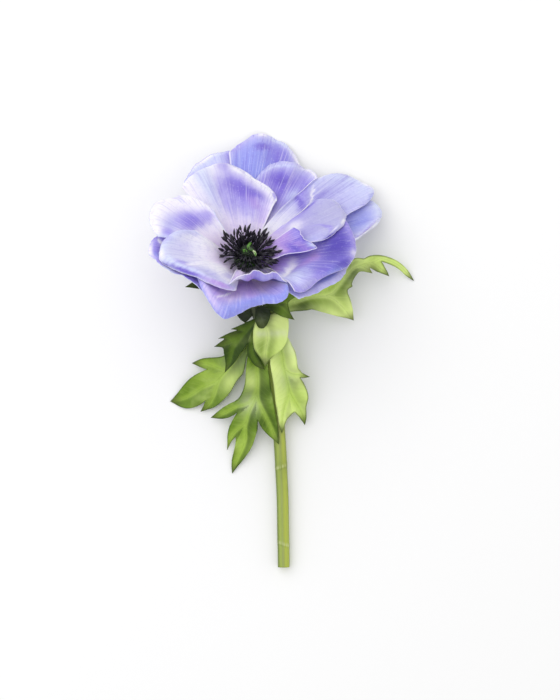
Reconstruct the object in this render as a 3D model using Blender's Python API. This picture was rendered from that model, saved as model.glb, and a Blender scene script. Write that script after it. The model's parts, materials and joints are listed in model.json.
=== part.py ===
"""Anemone flower, cut with a short stem and laid on its back.

Built in millimetres and scaled to metres.  +Y runs along the stem towards the
flower, +X to its right and +Z up from the surface it lies on.  The flower head
is modelled upright about its own axis and then tilted onto the stem's end.
The back petals' rims, two leaf tips and the cut end of the stem touch z = 0.
"""

import math
from dataclasses import dataclass

import bmesh
import bpy
from mathutils import Matrix, Vector
from mathutils.bvhtree import BVHTree
from mathutils.geometry import delaunay_2d_cdt
from mathutils.kdtree import KDTree

MM = 0.001
SKY = 200.0
SHARP_ANGLE = math.radians(50)

# Flower head: where its claws meet, and the way it faces.
HEAD_CENTRE = Vector((-13.6, 34.0, 27.5))
HEAD_AXIS = Vector((0.16, 0.64, 0.75)).normalized()

# The cup that all petals follow near their claws.
CLAW_RADIUS = 5.3
CUP_DEPTH = 11.5
CUP_SPREAD = 15.0
LAYER_STEP = 0.3

PETAL_THICKNESS = 0.4
PETAL_GAP = 0.95
PETAL_COLUMNS = 13
PETAL_ROWS = 9
ROLL_ROWS = 3
RIM_SAMPLES = 8
FAN_POWER = 1.6
LIFT_POWER = 2.2
SIDE_ROLL = 0.35
RUFFLE_WAVES = 9
MARGIN_START = 0.4

LEAF_THICKNESS = 0.45
LEAF_GAP = 0.85
STEM_GAP = 0.55
LEAF_CELL = 3.6
LEAF_INSET = 0.32
KEEL_SLOPE = 0.16
KEEL_LIMIT = 1.0

# How a sheet is laid over those below it.
LAY_PASSES = 16
LAY_TOLERANCE = 0.02
STEEPEST = 0.45
LIFT_FADE = 0.3

STEM_SEGMENTS = 16


@dataclass
class Petal:
    """One petal: claw azimuth, and rim stations of (azimuth, reach, height).

    Azimuths are degrees about the head's axis, from its right-hand side.
    The rim's last few millimetres roll: a positive angle turns it outwards.
    Margins are the millimetres by which each side curls up at mid-length.
    """

    name: str
    claw: float
    rim: tuple
    roll: float = 30.0
    roll_length: float = 3.0
    ruffle: float = 0.5
    claw_half_angle: float = 30.0
    margins: tuple = (0.0, 0.0)


# From the outermost layer to the innermost, in the order that they are laid.
PETALS = (
    Petal("petal_top_left_back", 116,
          ((98, 51, 12), (108, 50, 11.5), (117, 47.5, 11), (124, 44.5, 10), (131, 41, 9)), 30),
    Petal("petal_left_low", 208,
          ((180, 36, 11), (188, 39.5, 12), (195, 41.5, 12.5), (203, 41, 13), (212, 38, 13),
           (223, 34.5, 12.5), (238, 33.5, 12)), 20, 3.0, 0.6),
    Petal("petal_far_right", 20,
          ((11, 39.5, 8), (16, 45.5, 8.5), (20, 52, 9), (24, 58, 9.5), (27, 60.5, 10),
           (33, 60.5, 9.5), (39, 58, 9)), 35, 3.0, 0.4),
    Petal("petal_lower_right_back", 334,
          ((309, 31, 8.5), (320, 31.5, 8.5), (333, 34, 8), (346, 38, 8), (356, 39.5, 8),
           (363, 42, 8), (371, 44, 8)), 40, 3.0, 0.4, 30),
    Petal("petal_top", 84,
          ((62, 47.5, 12), (69, 52.3, 13.6), (75, 56.2, 15.2), (82, 58, 16), (89, 57.2, 15.8),
           (95, 54.6, 14.6), (101, 49, 11.9)), 35, 3.0, 0.8, 32, (1.0, 0.5)),
    Petal("petal_front", 258,
          ((221, 27, 11), (232, 32.5, 12), (243, 37, 12.5), (251, 39.5, 12.5), (258, 39, 12),
           (266, 33, 11.5), (277, 29, 11.5), (287, 29, 12), (297, 31, 12.5), (306, 25, 12)),
          80, 4.5, 0.5, 38, (2.0, 0.0)),
    Petal("petal_upper_right", 62,
          ((50, 41, 12), (55, 47.5, 12.5), (60, 51, 12.5), (65, 48.5, 12.5), (70, 47, 13),
           (76, 46.5, 12.5), (82, 42, 12.5), (87, 35, 12)), 35, 2.5, 0.5, 30, (0.0, 1.0)),
    Petal("petal_upper_left", 102,
          ((67, 25, 13), (75, 30, 14.5), (84, 32.7, 15.2), (92, 35.7, 15.2), (99, 39.7, 15.2),
           (106, 43.2, 15.3), (117, 42, 14.4), (128, 40.8, 13), (136, 38, 11.5)),
          120, 4.5, 0.4, 38, (1.5, 0.0)),
    Petal("petal_right", 40,
          ((25, 40, 13.5), (30, 51, 13), (34, 61, 12.5), (39, 62.5, 12.2), (45, 61, 12),
           (51, 57.5, 12), (55, 50, 12.5), (56, 43, 13)), 25, 3.0, 0.6, 30, (0.0, 1.0)),
    Petal("petal_lower_right", 338,
          ((307, 28.5, 12.5), (313, 30.2, 12.5), (323, 30.5, 12.5), (335, 31.5, 12.5),
           (345, 35.5, 12.5), (353, 39.5, 12.5), (360, 42, 12.5), (367, 43, 12.5),
           (376, 42, 13.5), (385, 40, 14)), 60, 3.5, 0.4, 38, (3.5, 0.0)),
    Petal("petal_left_upper", 162,
          ((134, 21, 12), (137, 28, 13.5), (144, 34, 14.5), (152, 38, 14.5), (160, 40.5, 15),
           (168, 41, 15.5), (176, 40, 15.5), (186, 37, 14)), 70, 3.5, 0.6, 34, (0.5, 1.5)),
    Petal("petal_left", 214,
          ((175, 22, 13.5), (181, 28, 15), (188, 33, 16), (196, 37.5, 16.5), (205, 39, 16.5),
           (214, 36, 16.5), (224, 32, 16.5), (236, 31, 16), (248, 30, 15), (258, 27.5, 14)),
          110, 4.5, 0.4, 40),
    Petal("petal_front_inner", 277,
          ((252, 28.5, 8.5), (260, 26.3, 8.5), (269, 25.6, 8.5), (278, 25, 8.5), (288, 24.6, 8.5),
           (297, 24.6, 8.5), (305, 24.5, 8.5)), -95, 8.5, 0.6, 34),
    Petal("petal_inner_right", 30,
          ((5, 25, 13.5), (10, 29.5, 13.5), (15, 34.5, 14), (20, 39.5, 14), (26, 42, 14.5),
           (33, 43, 14.5), (40, 42, 14.5), (45, 38, 14), (45, 32, 13.5)), 50, 2.5, 0.4, 20),
    Petal("petal_inner_right_low", 364,
          ((334, 13, 10), (343, 15.5, 11), (349, 19.5, 12), (354, 24.5, 13), (359, 27, 14),
           (363, 24, 14), (369, 21.5, 14), (377, 21, 14), (385, 21.5, 13), (391, 19.5, 12)),
          -20, 1.5, 0.3, 20),
)

TIP = 1

# Leaf outlines of (x, y, z), rim point by rim point from the claw round and
# back to it.  A fourth value marks a sharp tip or notch; the rest is smooth.
# In the order that they are laid, from the lowest to the highest.
LEAVES = (
    ("leaf_left_upper", (
        (-12.1, 16.8, 14.1, TIP), (-16, 21.6, 13), (-22, 26, 12), (-27, 29, 11.4, TIP),
        (-27.6, 27.4, 11, TIP), (-33, 28.4, 10), (-38.4, 25.4, 9, TIP), (-34, 24.8, 9.4),
        (-30.4, 24.2, 9.8), (-26.6, 20.6, 10.6), (-22.8, 18, 11.6), (-18.4, 15.2, 12.4),
        (-16.2, 12.4, 12.8), (-14, 10.8, 13, TIP), (-11.1, 13.4, 13.6, TIP))),
    ("leaf_left", (
        (-10.8, 12.8, 13.0, TIP), (-13, 8.5, 11.4), (-16, 4.2, 9.8), (-20, -0.4, 8),
        (-24, -3, 6.6), (-31, -3.4, 4.8), (-35.8, -5.4, 3.0, TIP), (-32, -7.4, 3.6),
        (-29.2, -7.8, 4.6, TIP), (-35, -10.4, 3.4), (-39, -14, 2), (-42, -18, 1),
        (-44.8, -21, 0.23, TIP), (-39.6, -23.8, 1), (-35.2, -23.6, 2), (-31.8, -21.9, 2.8),
        (-29.6, -19.8, 3.6, TIP), (-32.4, -25.2, 1.6, TIP), (-28.4, -24.1, 2.2),
        (-25.2, -22.4, 3.0), (-20.4, -17.6, 4.4), (-17.8, -12.8, 6), (-14.8, -9.8, 7.6, TIP),
        (-13.4, -2.4, 10), (-11.4, 3, 11.4), (-9.45, 8.4, 12.4, TIP))),
    ("leaf_right", (
        (-5.1, 15, 13.5, TIP), (0, 19, 14.2), (9, 24, 15), (17, 27, 15.6), (23.6, 29.6, 15.8),
        (26.4, 33.4, 15.2), (29.4, 36.5, 14.6), (32, 36.9, 14), (33.8, 36.5, 13.6, TIP),
        (36, 37.8, 13), (39.8, 38.2, 11.8), (43.4, 37.6, 10), (47, 36.4, 7.6), (50.6, 34, 4.6),
        (53.1, 31, 2), (54.7, 28.1, 0.23, TIP), (51.5, 30, 2.2), (49.2, 32.1, 4.8),
        (46.7, 33.7, 7.2), (43.6, 34.9, 9.4), (40.8, 35.8, 11, TIP), (42.4, 33.4, 9.6),
        (43.6, 31.4, 8.6), (44.2, 29.8, 7.6, TIP), (41.8, 30.6, 9), (38.4, 32, 10.8),
        (36, 33.4, 12.2, TIP), (37.2, 30.9, 11.4, TIP), (35, 31.3, 12.4), (32.4, 31.7, 13),
        (30.2, 29.4, 13.8), (28.8, 26.5, 14.4, TIP), (29.1, 25.6, 14.8, TIP), (27.2, 24.2, 14.4),
        (27.4, 22.6, 13.8), (28.6, 19.6, 12), (29.5, 15.6, 9.6), (29.9, 12, 6.4, TIP),
        (26.6, 12.8, 8), (22, 13.9, 10), (17, 15.2, 11.6), (13, 16.4, 12.6, TIP),
        (10.6, 15.8, 12.6, TIP), (7, 15.6, 12.8), (4, 15.3, 13), (0, 13.8, 12.8),
        (-4.3, 12.4, 12.9, TIP))),
    ("leaf_lower_left", (
        (-9.0, 8.8, 15.0, TIP), (-11.6, 4, 15.2), (-13.2, -3, 14.8), (-13.8, -9, 13.6),
        (-14.2, -14, 12), (-16.4, -19.6, 10.2), (-20, -21.6, 8.4), (-24.2, -24.2, 5.6),
        (-28.2, -27.6, 3.4, TIP), (-23.8, -28.2, 4.8), (-20, -27.1, 6.8), (-17.2, -25.1, 8.4, TIP),
        (-18.8, -27.8, 6.8), (-20.9, -32, 4.6), (-21.6, -36, 2.8), (-21.5, -40.8, 1.4, TIP),
        (-20.2, -37.6, 3), (-18, -35.2, 4.6, TIP), (-18.1, -38, 3.8), (-19.4, -44, 2),
        (-19.9, -47, 1.2), (-19.5, -50.4, 0.6, TIP), (-16.8, -46.8, 2), (-12.2, -41, 4),
        (-9.9, -35.2, 6.2), (-9, -31, 8), (-9.2, -27.8, 9.4, TIP), (-7.2, -32, 9),
        (-3.8, -35.4, 8.6), (-0.5, -38.3, 8, TIP), (-0.9, -32, 9), (-1.6, -27.6, 9.8),
        (-2.4, -23, 10.8), (-3.2, -18.6, 11.6), (-3.9, -14.4, 12.4), (-4.8, -8, 13.6),
        (-5.6, 0, 14.6), (-6.0, 8.4, 15.4, TIP))),
    ("leaf_left_small", (
        (-9.6, 12.6, 15.2, TIP), (-13, 11.2, 15.2), (-16, 9.8, 14.8), (-19.8, 8.3, 14, TIP),
        (-16.8, 7.9, 14.4, TIP), (-20.4, 6.8, 13.2), (-25, 4.5, 11.4, TIP), (-22, 4.6, 12.2, TIP),
        (-26.6, 1.3, 9.8, TIP), (-22.9, 0.9, 11, TIP), (-22.6, -2, 10.6), (-22, -5.4, 9.8),
        (-22.4, -9.3, 8.6, TIP), (-18.8, -5.6, 10.2), (-15.8, -1, 12), (-13.2, 2, 13.2),
        (-11.6, 6.4, 14.4), (-9.0, 9.6, 14.9, TIP))),
    ("leaf_lower_right", (
        (-5.2, 8.6, 15.2, TIP), (-1.2, 9.6, 15.8), (2.4, 6.2, 15.8), (4.6, 2, 15.2), (6.3, -1, 14.6),
        (7, -6, 13.4), (7.6, -8.1, 12.8), (9.6, -9.7, 12), (12, -10.9, 10.6, TIP),
        (9.6, -11.5, 11.4), (8, -11.2, 12.2, TIP), (9.7, -13.6, 10.8), (11.2, -17.2, 8.8),
        (11.5, -20, 7.6), (10.6, -23.2, 6.4), (10.9, -27.4, 4.4), (10.1, -30.6, 3, TIP),
        (7.7, -27.2, 5.4), (5.9, -25, 7.6, TIP), (3, -28, 8), (1.7, -31.8, 8),
        (0.7, -33.8, 8, TIP), (-0.6, -28, 9.2), (-1.8, -21, 10.8), (-2.4, -14.4, 12.4),
        (-3.6, -8, 13.8), (-4.6, 0, 14.9))),
    ("leaf_sliver", (
        (-8.8, 11.6, 15.7, TIP), (-11, 8.4, 16.4), (-12.6, 4.4, 16.8), (-13.2, -1.2, 16.4),
        (-12, -3.8, 16), (-9.9, -6.7, 15.2), (-6.2, -7.9, 14.8, TIP), (-9, -2.2, 16.4),
        (-9.8, 2, 16.8), (-8.6, 6.4, 16.6), (-6.8, 11, 15.8, TIP))),
    ("leaf_centre", (
        (-6.6, 14.1, 16.1, TIP), (-1.6, 14.6, 17), (3.3, 13.8, 17.4, TIP), (3.5, 10, 18),
        (3.3, 6.2, 18), (2.2, 2, 17.4), (-0.6, -1, 16.6), (-3.6, -3.4, 16), (-6, -6.8, 15.2, TIP),
        (-8.2, -2.8, 17), (-9.8, -0.6, 18), (-10.7, 2.6, 18.4), (-10.7, 9, 18),
        (-8.8, 12.6, 16.6))),
    ("leaf_front_lobe", (
        (-9.6, 17.0, 17.0, TIP), (-10.1, 12.4, 18.6), (-8.7, 8.9, 19.4), (-6.4, 8.7, 19.4),
        (-4.6, 11.2, 19), (-3.8, 15.4, 18.4), (-5.4, 18, 17.2, TIP))),
    ("leaf_front_small", (
        (-7.8, 19.8, 16.1, TIP), (-4, 23, 18.4), (-1, 25.6, 20), (1.8, 27.4, 21.4, TIP),
        (2.0, 23.4, 20.6, TIP), (5.2, 25, 21.2), (8.8, 24.6, 21.6, TIP), (6.6, 21.4, 21),
        (3.0, 19.2, 20.4, TIP), (3.7, 15.6, 20), (5.8, 12, 19.2, TIP), (2, 12.8, 19.6),
        (-1.4, 14.4, 19), (-4, 16, 17.8), (-6.8, 17.2, 15.5, TIP))),
)

# Stem centre line from the head to the cut end, with its radius.
STEM_LINE = (
    (-14.48, 30.48, 23.37, 2.7), (-14.7, 29.5, 22.22, 2.7), (-14.5, 26.8, 19.5, 2.65),
    (-13.2, 23.2, 16.8, 2.6), (-10.9, 18.9, 14.7, 2.65), (-8.9, 15.4, 13.6, 2.75),
    (-7.6, 12.2, 13.0, 2.7), (-5.0, 3.0, 11.2, 2.6), (-3.3, -8.0, 9.2, 2.6),
    (-1.8, -19.0, 7.2, 2.55), (-0.6, -30.0, 5.4, 2.5), (0.2, -42.0, 4.0, 2.45),
    (0.7, -54.0, 3.1, 2.4), (0.9, -55.2, 3.05, 2.6), (1.0, -56.4, 3.0, 2.4),
    (1.2, -68.0, 2.65, 2.4), (1.3, -75.4, 2.55, 2.4), (1.35, -76.4, 2.6, 2.55),
    (1.4, -77.4, 2.45, 2.4), (1.5, -87.2, 2.35, 2.35),
)

# Receptacle and pistil profiles of (radius, height) on the head's axis.
RECEPTACLE = ((2.75, -5.2), (3.6, -4.2), (4.9, -2.9), (5.0, 4.4), (4.6, 5.1), (3.4, 5.4))
PISTIL = ((0.9, 5.7), (1.5, 6.2), (1.75, 7.2), (1.7, 8.6), (1.3, 9.6), (0.7, 10.1))


@dataclass
class Crown:
    """One whorl of stamens: a ring with filaments leaning out to their anthers."""

    name: str
    count: int
    radius: float
    floor: float
    knee: tuple
    tip: tuple
    seed: float


CROWNS = (
    Crown("stamens_outer", 24, 4.15, 5.7, (7.8, 9.1), (12.6, 11.1), 0.0),
    Crown("stamens_middle", 19, 3.15, 5.7, (5.8, 9.0), (9.4, 11.8), 1.7),
    Crown("stamens_inner", 13, 2.25, 5.7, (3.6, 8.6), (6.0, 11.6), 3.1),
)
CROWN_WIDTH = 0.62
CROWN_HEIGHT = 0.6
FILAMENT_WIDTH = 0.42
ANTHER_WIDTH = 0.85


def material(name, colour, roughness):
    """A Principled material with one colour."""
    made = bpy.data.materials.new(name)
    made.use_nodes = True
    shader = made.node_tree.nodes["Principled BSDF"]
    shader.inputs["Base Color"].default_value = (*colour, 1.0)
    shader.inputs["Roughness"].default_value = roughness
    shader.inputs["Metallic"].default_value = 0.0
    made.diffuse_color = (*colour, 1.0)
    return made


def add_object(name, bm, colour, roughness=0.6, parent=None):
    """Turn a finished millimetre mesh into a named object in metres."""
    bmesh.ops.recalc_face_normals(bm, faces=bm.faces)
    bmesh.ops.scale(bm, vec=(MM, MM, MM), verts=bm.verts)
    mesh = bpy.data.meshes.new(name)
    bm.to_mesh(mesh)
    bm.free()
    mesh.shade_smooth()
    mesh.set_sharp_from_angle(angle=SHARP_ANGLE)
    obj = bpy.data.objects.new(name, mesh)
    bpy.context.scene.collection.objects.link(obj)
    obj.data.materials.append(material(name + "_finish", colour, roughness))
    obj.parent = parent
    return obj


def spline(points, samples):
    """Points along a Catmull-Rom curve, `samples` to each span and the last."""
    ends = [2 * points[0] - points[1], *points, 2 * points[-1] - points[-2]]
    out = []
    for a, b, c, d in zip(ends, ends[1:], ends[2:], ends[3:]):
        for step in range(samples):
            t = step / samples
            out.append(0.5 * (2 * b + (c - a) * t + (2 * a - 5 * b + 4 * c - d) * t * t
                              + (3 * b - a - 3 * c + d) * t ** 3))
    return out + [points[-1].copy()]


def along(points, fraction):
    """The point at a fraction of the way through a list of points."""
    place = fraction * (len(points) - 1)
    index = min(int(place), len(points) - 2)
    return points[index].lerp(points[index + 1], place - index)


def sheet(points, faces):
    """An open mesh of points and faces that share one winding."""
    bm = bmesh.new()
    verts = [bm.verts.new(point) for point in points]
    for face in faces:
        bm.faces.new([verts[index] for index in face])
    return bm


def add_sheet(name, points, faces, thickness, colour, parent=None):
    """A named object of even thickness about a middle sheet."""
    obj = add_object(name, sheet(points, faces), colour, 0.6, parent)
    solid = obj.modifiers.new("thickness", "SOLIDIFY")
    solid.thickness = thickness * MM
    solid.offset = 0.0


def spread_lifts(points, lifts):
    """Let each lift fade out over its neighbourhood, so the sheet stays smooth."""
    raised = [(point, lift) for point, lift in zip(points, lifts) if lift > 0]
    return [max(lift, *(other - LIFT_FADE * (place - point).length for place, other in raised))
            for point, lift in zip(points, lifts)]


def look_down(tree, point):
    """Where a line from high above meets a sheet over or under the point."""
    return tree.ray_cast(Vector((point.x, point.y, SKY)), Vector((0, 0, -1)))


def lay_over(points, faces, below):
    """Raise a sheet until it clears every sheet below it, each by its own gap."""
    for _ in range(LAY_PASSES):
        tree = BVHTree.FromPolygons(points, faces)
        lifts = [0.0] * len(points)
        for other, other_points, gap in below:
            for index, point in enumerate(points):
                hit, normal, _, _ = look_down(other, point)
                if hit is not None:
                    need = hit.z + gap / max(normal.z, STEEPEST) - point.z
                    lifts[index] = max(lifts[index], need)
                hit, _, _, distance = other.find_nearest(point, gap)
                if hit is not None and distance < gap - LAY_TOLERANCE:
                    lifts[index] = max(lifts[index], gap - distance)
            for point in other_points:
                hit, normal, face, _ = look_down(tree, point)
                if hit is not None:
                    need = point.z + gap / max(normal.z, STEEPEST) - hit.z
                    for index in faces[face]:
                        lifts[index] = max(lifts[index], need)
        if max(lifts) < LAY_TOLERANCE:
            return
        for point, lift in zip(points, spread_lifts(points, lifts)):
            point.z += lift


def cup_height(reach):
    return CUP_DEPTH * (1 - math.exp(-(reach - CLAW_RADIUS) / CUP_SPREAD))


def petal_points(petal, order):
    """The middle sheet of one petal in the head's frame, vein by vein."""
    rim = spline([Vector(station) for station in petal.rim], RIM_SAMPLES)
    start = (order - len(PETALS) // 2) * LAYER_STEP
    roll = math.radians(petal.roll)
    overhang = petal.roll_length * math.sin(min(abs(roll), math.pi / 2)) / abs(roll)
    points = []
    for column in range(PETAL_COLUMNS):
        across = 2 * column / (PETAL_COLUMNS - 1) - 1
        azimuth, reach, height = along(rim, (across + 1) / 2)
        fullness = SIDE_ROLL + (1 - SIDE_ROLL) * (1 - across ** 4)
        reach -= overhang * fullness
        claw = petal.claw + across * petal.claw_half_angle
        lift = height - cup_height(reach) - start
        vein = []
        for row in range(PETAL_ROWS):
            t = row / (PETAL_ROWS - 1)
            turn = math.radians(claw + (azimuth - claw) * (1 - (1 - t) ** FAN_POWER))
            r = CLAW_RADIUS + (reach - CLAW_RADIUS) * t
            wave = petal.ruffle * t ** 3 * math.sin(RUFFLE_WAVES * across + 1.3 * order)
            curl = max(0.0, (abs(across) - MARGIN_START) / (1 - MARGIN_START)) * 4 * t * (1 - t)
            margin = petal.margins[across > 0] * curl
            z = cup_height(r) + start + lift * t ** LIFT_POWER + wave + margin
            vein.append(Vector((r * math.cos(turn), r * math.sin(turn), z)))
        way = (vein[-1] - vein[-2]).normalized()
        outward = Vector((way.x, way.y, 0)).normalized()
        slope = math.atan2(way.z, way.dot(outward))
        for _ in range(ROLL_ROWS):
            slope -= roll * fullness / ROLL_ROWS
            move = outward * math.cos(slope) + Vector((0, 0, math.sin(slope)))
            vein.append(vein[-1] + move * petal.roll_length * fullness / ROLL_ROWS)
        points += vein
    return points


def petal_faces():
    rows = PETAL_ROWS + ROLL_ROWS
    faces = []
    for column in range(PETAL_COLUMNS - 1):
        for row in range(rows - 1):
            a = column * rows + row
            faces.append((a, a + 1, a + rows + 1, a + rows))
    return faces


def add_petals(head):
    faces = petal_faces()
    laid = []
    for order, petal in enumerate(PETALS):
        points = petal_points(petal, order)
        lay_over(points, faces, laid)
        laid.append((BVHTree.FromPolygons(points, faces), points, PETAL_GAP))
        colour = (0.36, 0.33, 0.78) if order < 6 else (0.52, 0.47, 0.86)
        add_sheet(petal.name, points, faces, PETAL_THICKNESS, colour, head)


def leaf_outline(outline):
    """Smooth strokes between the sharp points of a leaf's outline."""
    turns = [index for index, point in enumerate(outline) if len(point) == 4]
    points = [Vector(point[:3]) for point in outline]
    points = points[turns[0]:] + points[:turns[0]]
    corners = [turn - turns[0] for turn in turns] + [len(points)]
    points.append(points[0])
    rim = []
    for first, last in zip(corners, corners[1:]):
        stroke = points[first:last + 1]
        rim += spline(stroke, 2)[:-1]
    return rim


def inside(x, y, rim):
    hit = False
    for a, b in zip(rim, rim[1:] + rim[:1]):
        if (a.y > y) != (b.y > y) and x < a.x + (b.x - a.x) * (y - a.y) / (b.y - a.y):
            hit = not hit
    return hit


def distance_to_rim(x, y, rim):
    place = Vector((x, y))
    best = 1e9
    for a, b in zip(rim, rim[1:] + rim[:1]):
        side = (b - a).xy
        t = max(0.0, min(1.0, (place - a.xy).dot(side) / max(side.length_squared, 1e-9)))
        best = min(best, (place - a.xy - side * t).length)
    return best


def height_from_rim(x, y, controls):
    """Height by inverse distance from the outline's own points."""
    total = weight = 0.0
    for point in controls:
        nearness = ((x - point[0]) ** 2 + (y - point[1]) ** 2 + 0.5) ** -1.4
        total += nearness * point[2]
        weight += nearness
    return total / weight


def leaf_sheet(outline):
    """A leaf's middle sheet: its rim, and a grid of points with a soft keel."""
    rim = leaf_outline(outline)
    plan = [point.xy for point in rim]
    left, right = min(p.x for p in plan), max(p.x for p in plan)
    bottom, top = min(p.y for p in plan), max(p.y for p in plan)
    for row in range(int((top - bottom) / LEAF_CELL) + 2):
        for column in range(int((right - left) / LEAF_CELL) + 2):
            x = left + (column + 0.5 * (row % 2)) * LEAF_CELL
            y = bottom + row * LEAF_CELL * 0.87
            if inside(x, y, rim) and distance_to_rim(x, y, rim) > LEAF_CELL * LEAF_INSET:
                plan.append(Vector((x, y)))
    edges = [(i, (i + 1) % len(rim)) for i in range(len(rim))]
    verts, _, faces, *_ = delaunay_2d_cdt(plan, edges, [], 1, 1e-4)
    points = []
    for vert in verts:
        edge = distance_to_rim(vert.x, vert.y, rim)
        z = height_from_rim(vert.x, vert.y, outline)
        points.append(Vector((vert.x, vert.y, z - min(edge * KEEL_SLOPE, KEEL_LIMIT))))
    tree = KDTree(len(rim))
    for index, point in enumerate(rim):
        tree.insert(Vector((point.x, point.y, 0)), index)
    tree.balance()
    for point in points:
        _, index, distance = tree.find(Vector((point.x, point.y, 0)))
        if distance < 1e-3:
            point.z = rim[index].z
    return points, [face for face in faces if len(face) > 2]


def tube(line, segments):
    """A closed tube along a line of (point, radius)."""
    bm = bmesh.new()
    rings = []
    for index, (centre, radius) in enumerate(line):
        before = line[max(index - 1, 0)][0]
        after = line[min(index + 1, len(line) - 1)][0]
        way = (after - before).normalized()
        side = way.cross(Vector((0, 0, 1))).normalized()
        front = side.cross(way)
        section = []
        for step in range(segments):
            turn = 2 * math.pi * step / segments
            spoke = side * math.cos(turn) + front * math.sin(turn)
            section.append(bm.verts.new(centre + spoke * radius))
        rings.append(section)
    for a, b in zip(rings, rings[1:]):
        bridge(bm, a, b)
    bm.faces.new(rings[0])
    bm.faces.new(list(reversed(rings[-1])))
    return bm


def turned(profile, segments):
    """A closed body turned about the head's axis from (radius, height) points."""
    bm = bmesh.new()
    rings = [ring(bm, radius, height, segments) for radius, height in profile]
    for lower, upper in zip(rings, rings[1:]):
        bridge(bm, lower, upper)
    bm.faces.new(list(reversed(rings[0])))
    bm.faces.new(rings[-1])
    return bm


def ring(bm, radius, height, count):
    turns = [2 * math.pi * step / count for step in range(count)]
    return [bm.verts.new((radius * math.cos(turn), radius * math.sin(turn), height))
            for turn in turns]


def bridge(bm, a, b):
    """Join two closed rings of as many points, and return the faces in order."""
    count = len(a)
    return [bm.faces.new((a[step], a[(step + 1) % count], b[(step + 1) % count], b[step]))
            for step in range(count)]


def crown_mesh(crown):
    """A ring whose every second top face is drawn out into a filament and anther."""
    bm = bmesh.new()
    count = crown.count * 2
    inner, outer = crown.radius - CROWN_WIDTH / 2, crown.radius + CROWN_WIDTH / 2
    top = crown.floor + CROWN_HEIGHT
    corners = [ring(bm, radius, height, count) for radius, height in
               ((inner, crown.floor), (outer, crown.floor), (outer, top), (inner, top))]
    tops = []
    for side in range(4):
        faces = bridge(bm, corners[side], corners[(side + 1) % 4])
        if side == 2:
            tops = faces[::2]
    for index, face in enumerate(tops):
        sway = math.sin(index * 4.8 + crown.seed)
        stretch = 1 + 0.16 * math.sin(index * 3.8 + crown.seed * 2)
        turn = 2 * math.pi * (2 * index + 0.5) / count
        knee = Vector((crown.knee[0], 0, crown.knee[1]))
        tip = knee + (Vector((crown.tip[0], 0, crown.tip[1])) - knee) * stretch
        draw_out_stamen(bm, face, knee, tip, turn + 0.03 * sway, turn + 0.08 * sway)
    return bm


def draw_out_stamen(bm, face, knee, tip, knee_turn, tip_turn):
    """Carry a face along a filament to the anther at its end."""
    lean = (tip - knee).normalized()
    across = Vector((0, 1, 0))
    front = lean.cross(across)
    stations = ((knee, knee_turn, FILAMENT_WIDTH), (knee.lerp(tip, 0.5), tip_turn, FILAMENT_WIDTH),
                (knee.lerp(tip, 0.72), tip_turn, ANTHER_WIDTH), (tip, tip_turn, FILAMENT_WIDTH))
    loop = list(face.verts)
    bm.faces.remove(face)
    for place, turn, width in stations:
        spin = Matrix.Rotation(turn, 3, "Z")
        section = [bm.verts.new(spin @ (place + (across * u + front * v) * width / 2))
                   for u, v in ((-1, -1), (1, -1), (1, 1), (-1, 1))]
        bridge(bm, loop, section)
        loop = section
    bm.faces.new(loop)


def add_leaves(stem_tree, stem_points):
    laid = [(stem_tree, stem_points, STEM_GAP)]
    for name, outline in LEAVES:
        points, faces = leaf_sheet(outline)
        lay_over(points, faces, laid)
        laid.append((BVHTree.FromPolygons(points, faces), points, LEAF_GAP))
        add_sheet(name, points, faces, LEAF_THICKNESS, (0.30, 0.46, 0.12))


def add_stem():
    line = spline([Vector(station[:3]) for station in STEM_LINE], 1)
    radii = [station[3] for station in STEM_LINE]
    bm = tube(list(zip(line, radii)), STEM_SEGMENTS)
    tree = BVHTree.FromBMesh(bm)
    points = [vert.co.copy() for vert in bm.verts]
    add_object("stem", bm, (0.40, 0.50, 0.16), 0.5)
    return tree, points


def head_matrix():
    up = Vector((0, HEAD_AXIS.z, -HEAD_AXIS.y)).normalized()
    right = up.cross(HEAD_AXIS)
    turn = Matrix((right, up, HEAD_AXIS)).transposed().to_4x4()
    return Matrix.Translation(HEAD_CENTRE * MM) @ turn


def settle():
    """Put the middle of the box's underside on the origin."""
    bpy.context.view_layer.update()
    corners = [obj.matrix_world @ vert.co for obj in bpy.data.objects if obj.type == "MESH"
               for vert in obj.data.vertices]
    low = [min(corner[axis] for corner in corners) for axis in range(3)]
    high = [max(corner[axis] for corner in corners) for axis in range(3)]
    shift = Vector(((low[0] + high[0]) / 2, (low[1] + high[1]) / 2, low[2]))
    for obj in bpy.data.objects:
        if obj.parent is None:
            obj.location -= shift


def main():
    for obj in list(bpy.data.objects):
        bpy.data.objects.remove(obj, do_unlink=True)
    head = bpy.data.objects.new("flower_head", None)
    bpy.context.scene.collection.objects.link(head)
    head.matrix_world = head_matrix()
    add_petals(head)
    add_object("receptacle", turned(RECEPTACLE, 20), (0.30, 0.38, 0.12), 0.6, head)
    add_object("pistil", turned(PISTIL, 16), (0.10, 0.16, 0.05), 0.6, head)
    for crown in CROWNS:
        add_object(crown.name, crown_mesh(crown), (0.02, 0.015, 0.03), 0.6, head)
    add_leaves(*add_stem())
    settle()


main()
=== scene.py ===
"""Looks of a cut anemone that lies on its back: petals, stamens, leaves and stem.

The petals, the leaves, the stem and the receptacle are grown from the solids that
they stand for.  A petal or leaf takes the upper side of its solid as a control
sheet, which is subdivided, given furrows and veins, and made a thin skin again.
The stamens and the pistil's carpels are set out anew about the head's own axis.
"""

import heapq
import json
import math
from dataclasses import dataclass

import bmesh
import bpy
import numpy as np
from bpy.props import FloatProperty, FloatVectorProperty, IntProperty, PointerProperty
from mathutils import Matrix, Vector, noise
from mathutils.kdtree import KDTree


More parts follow.
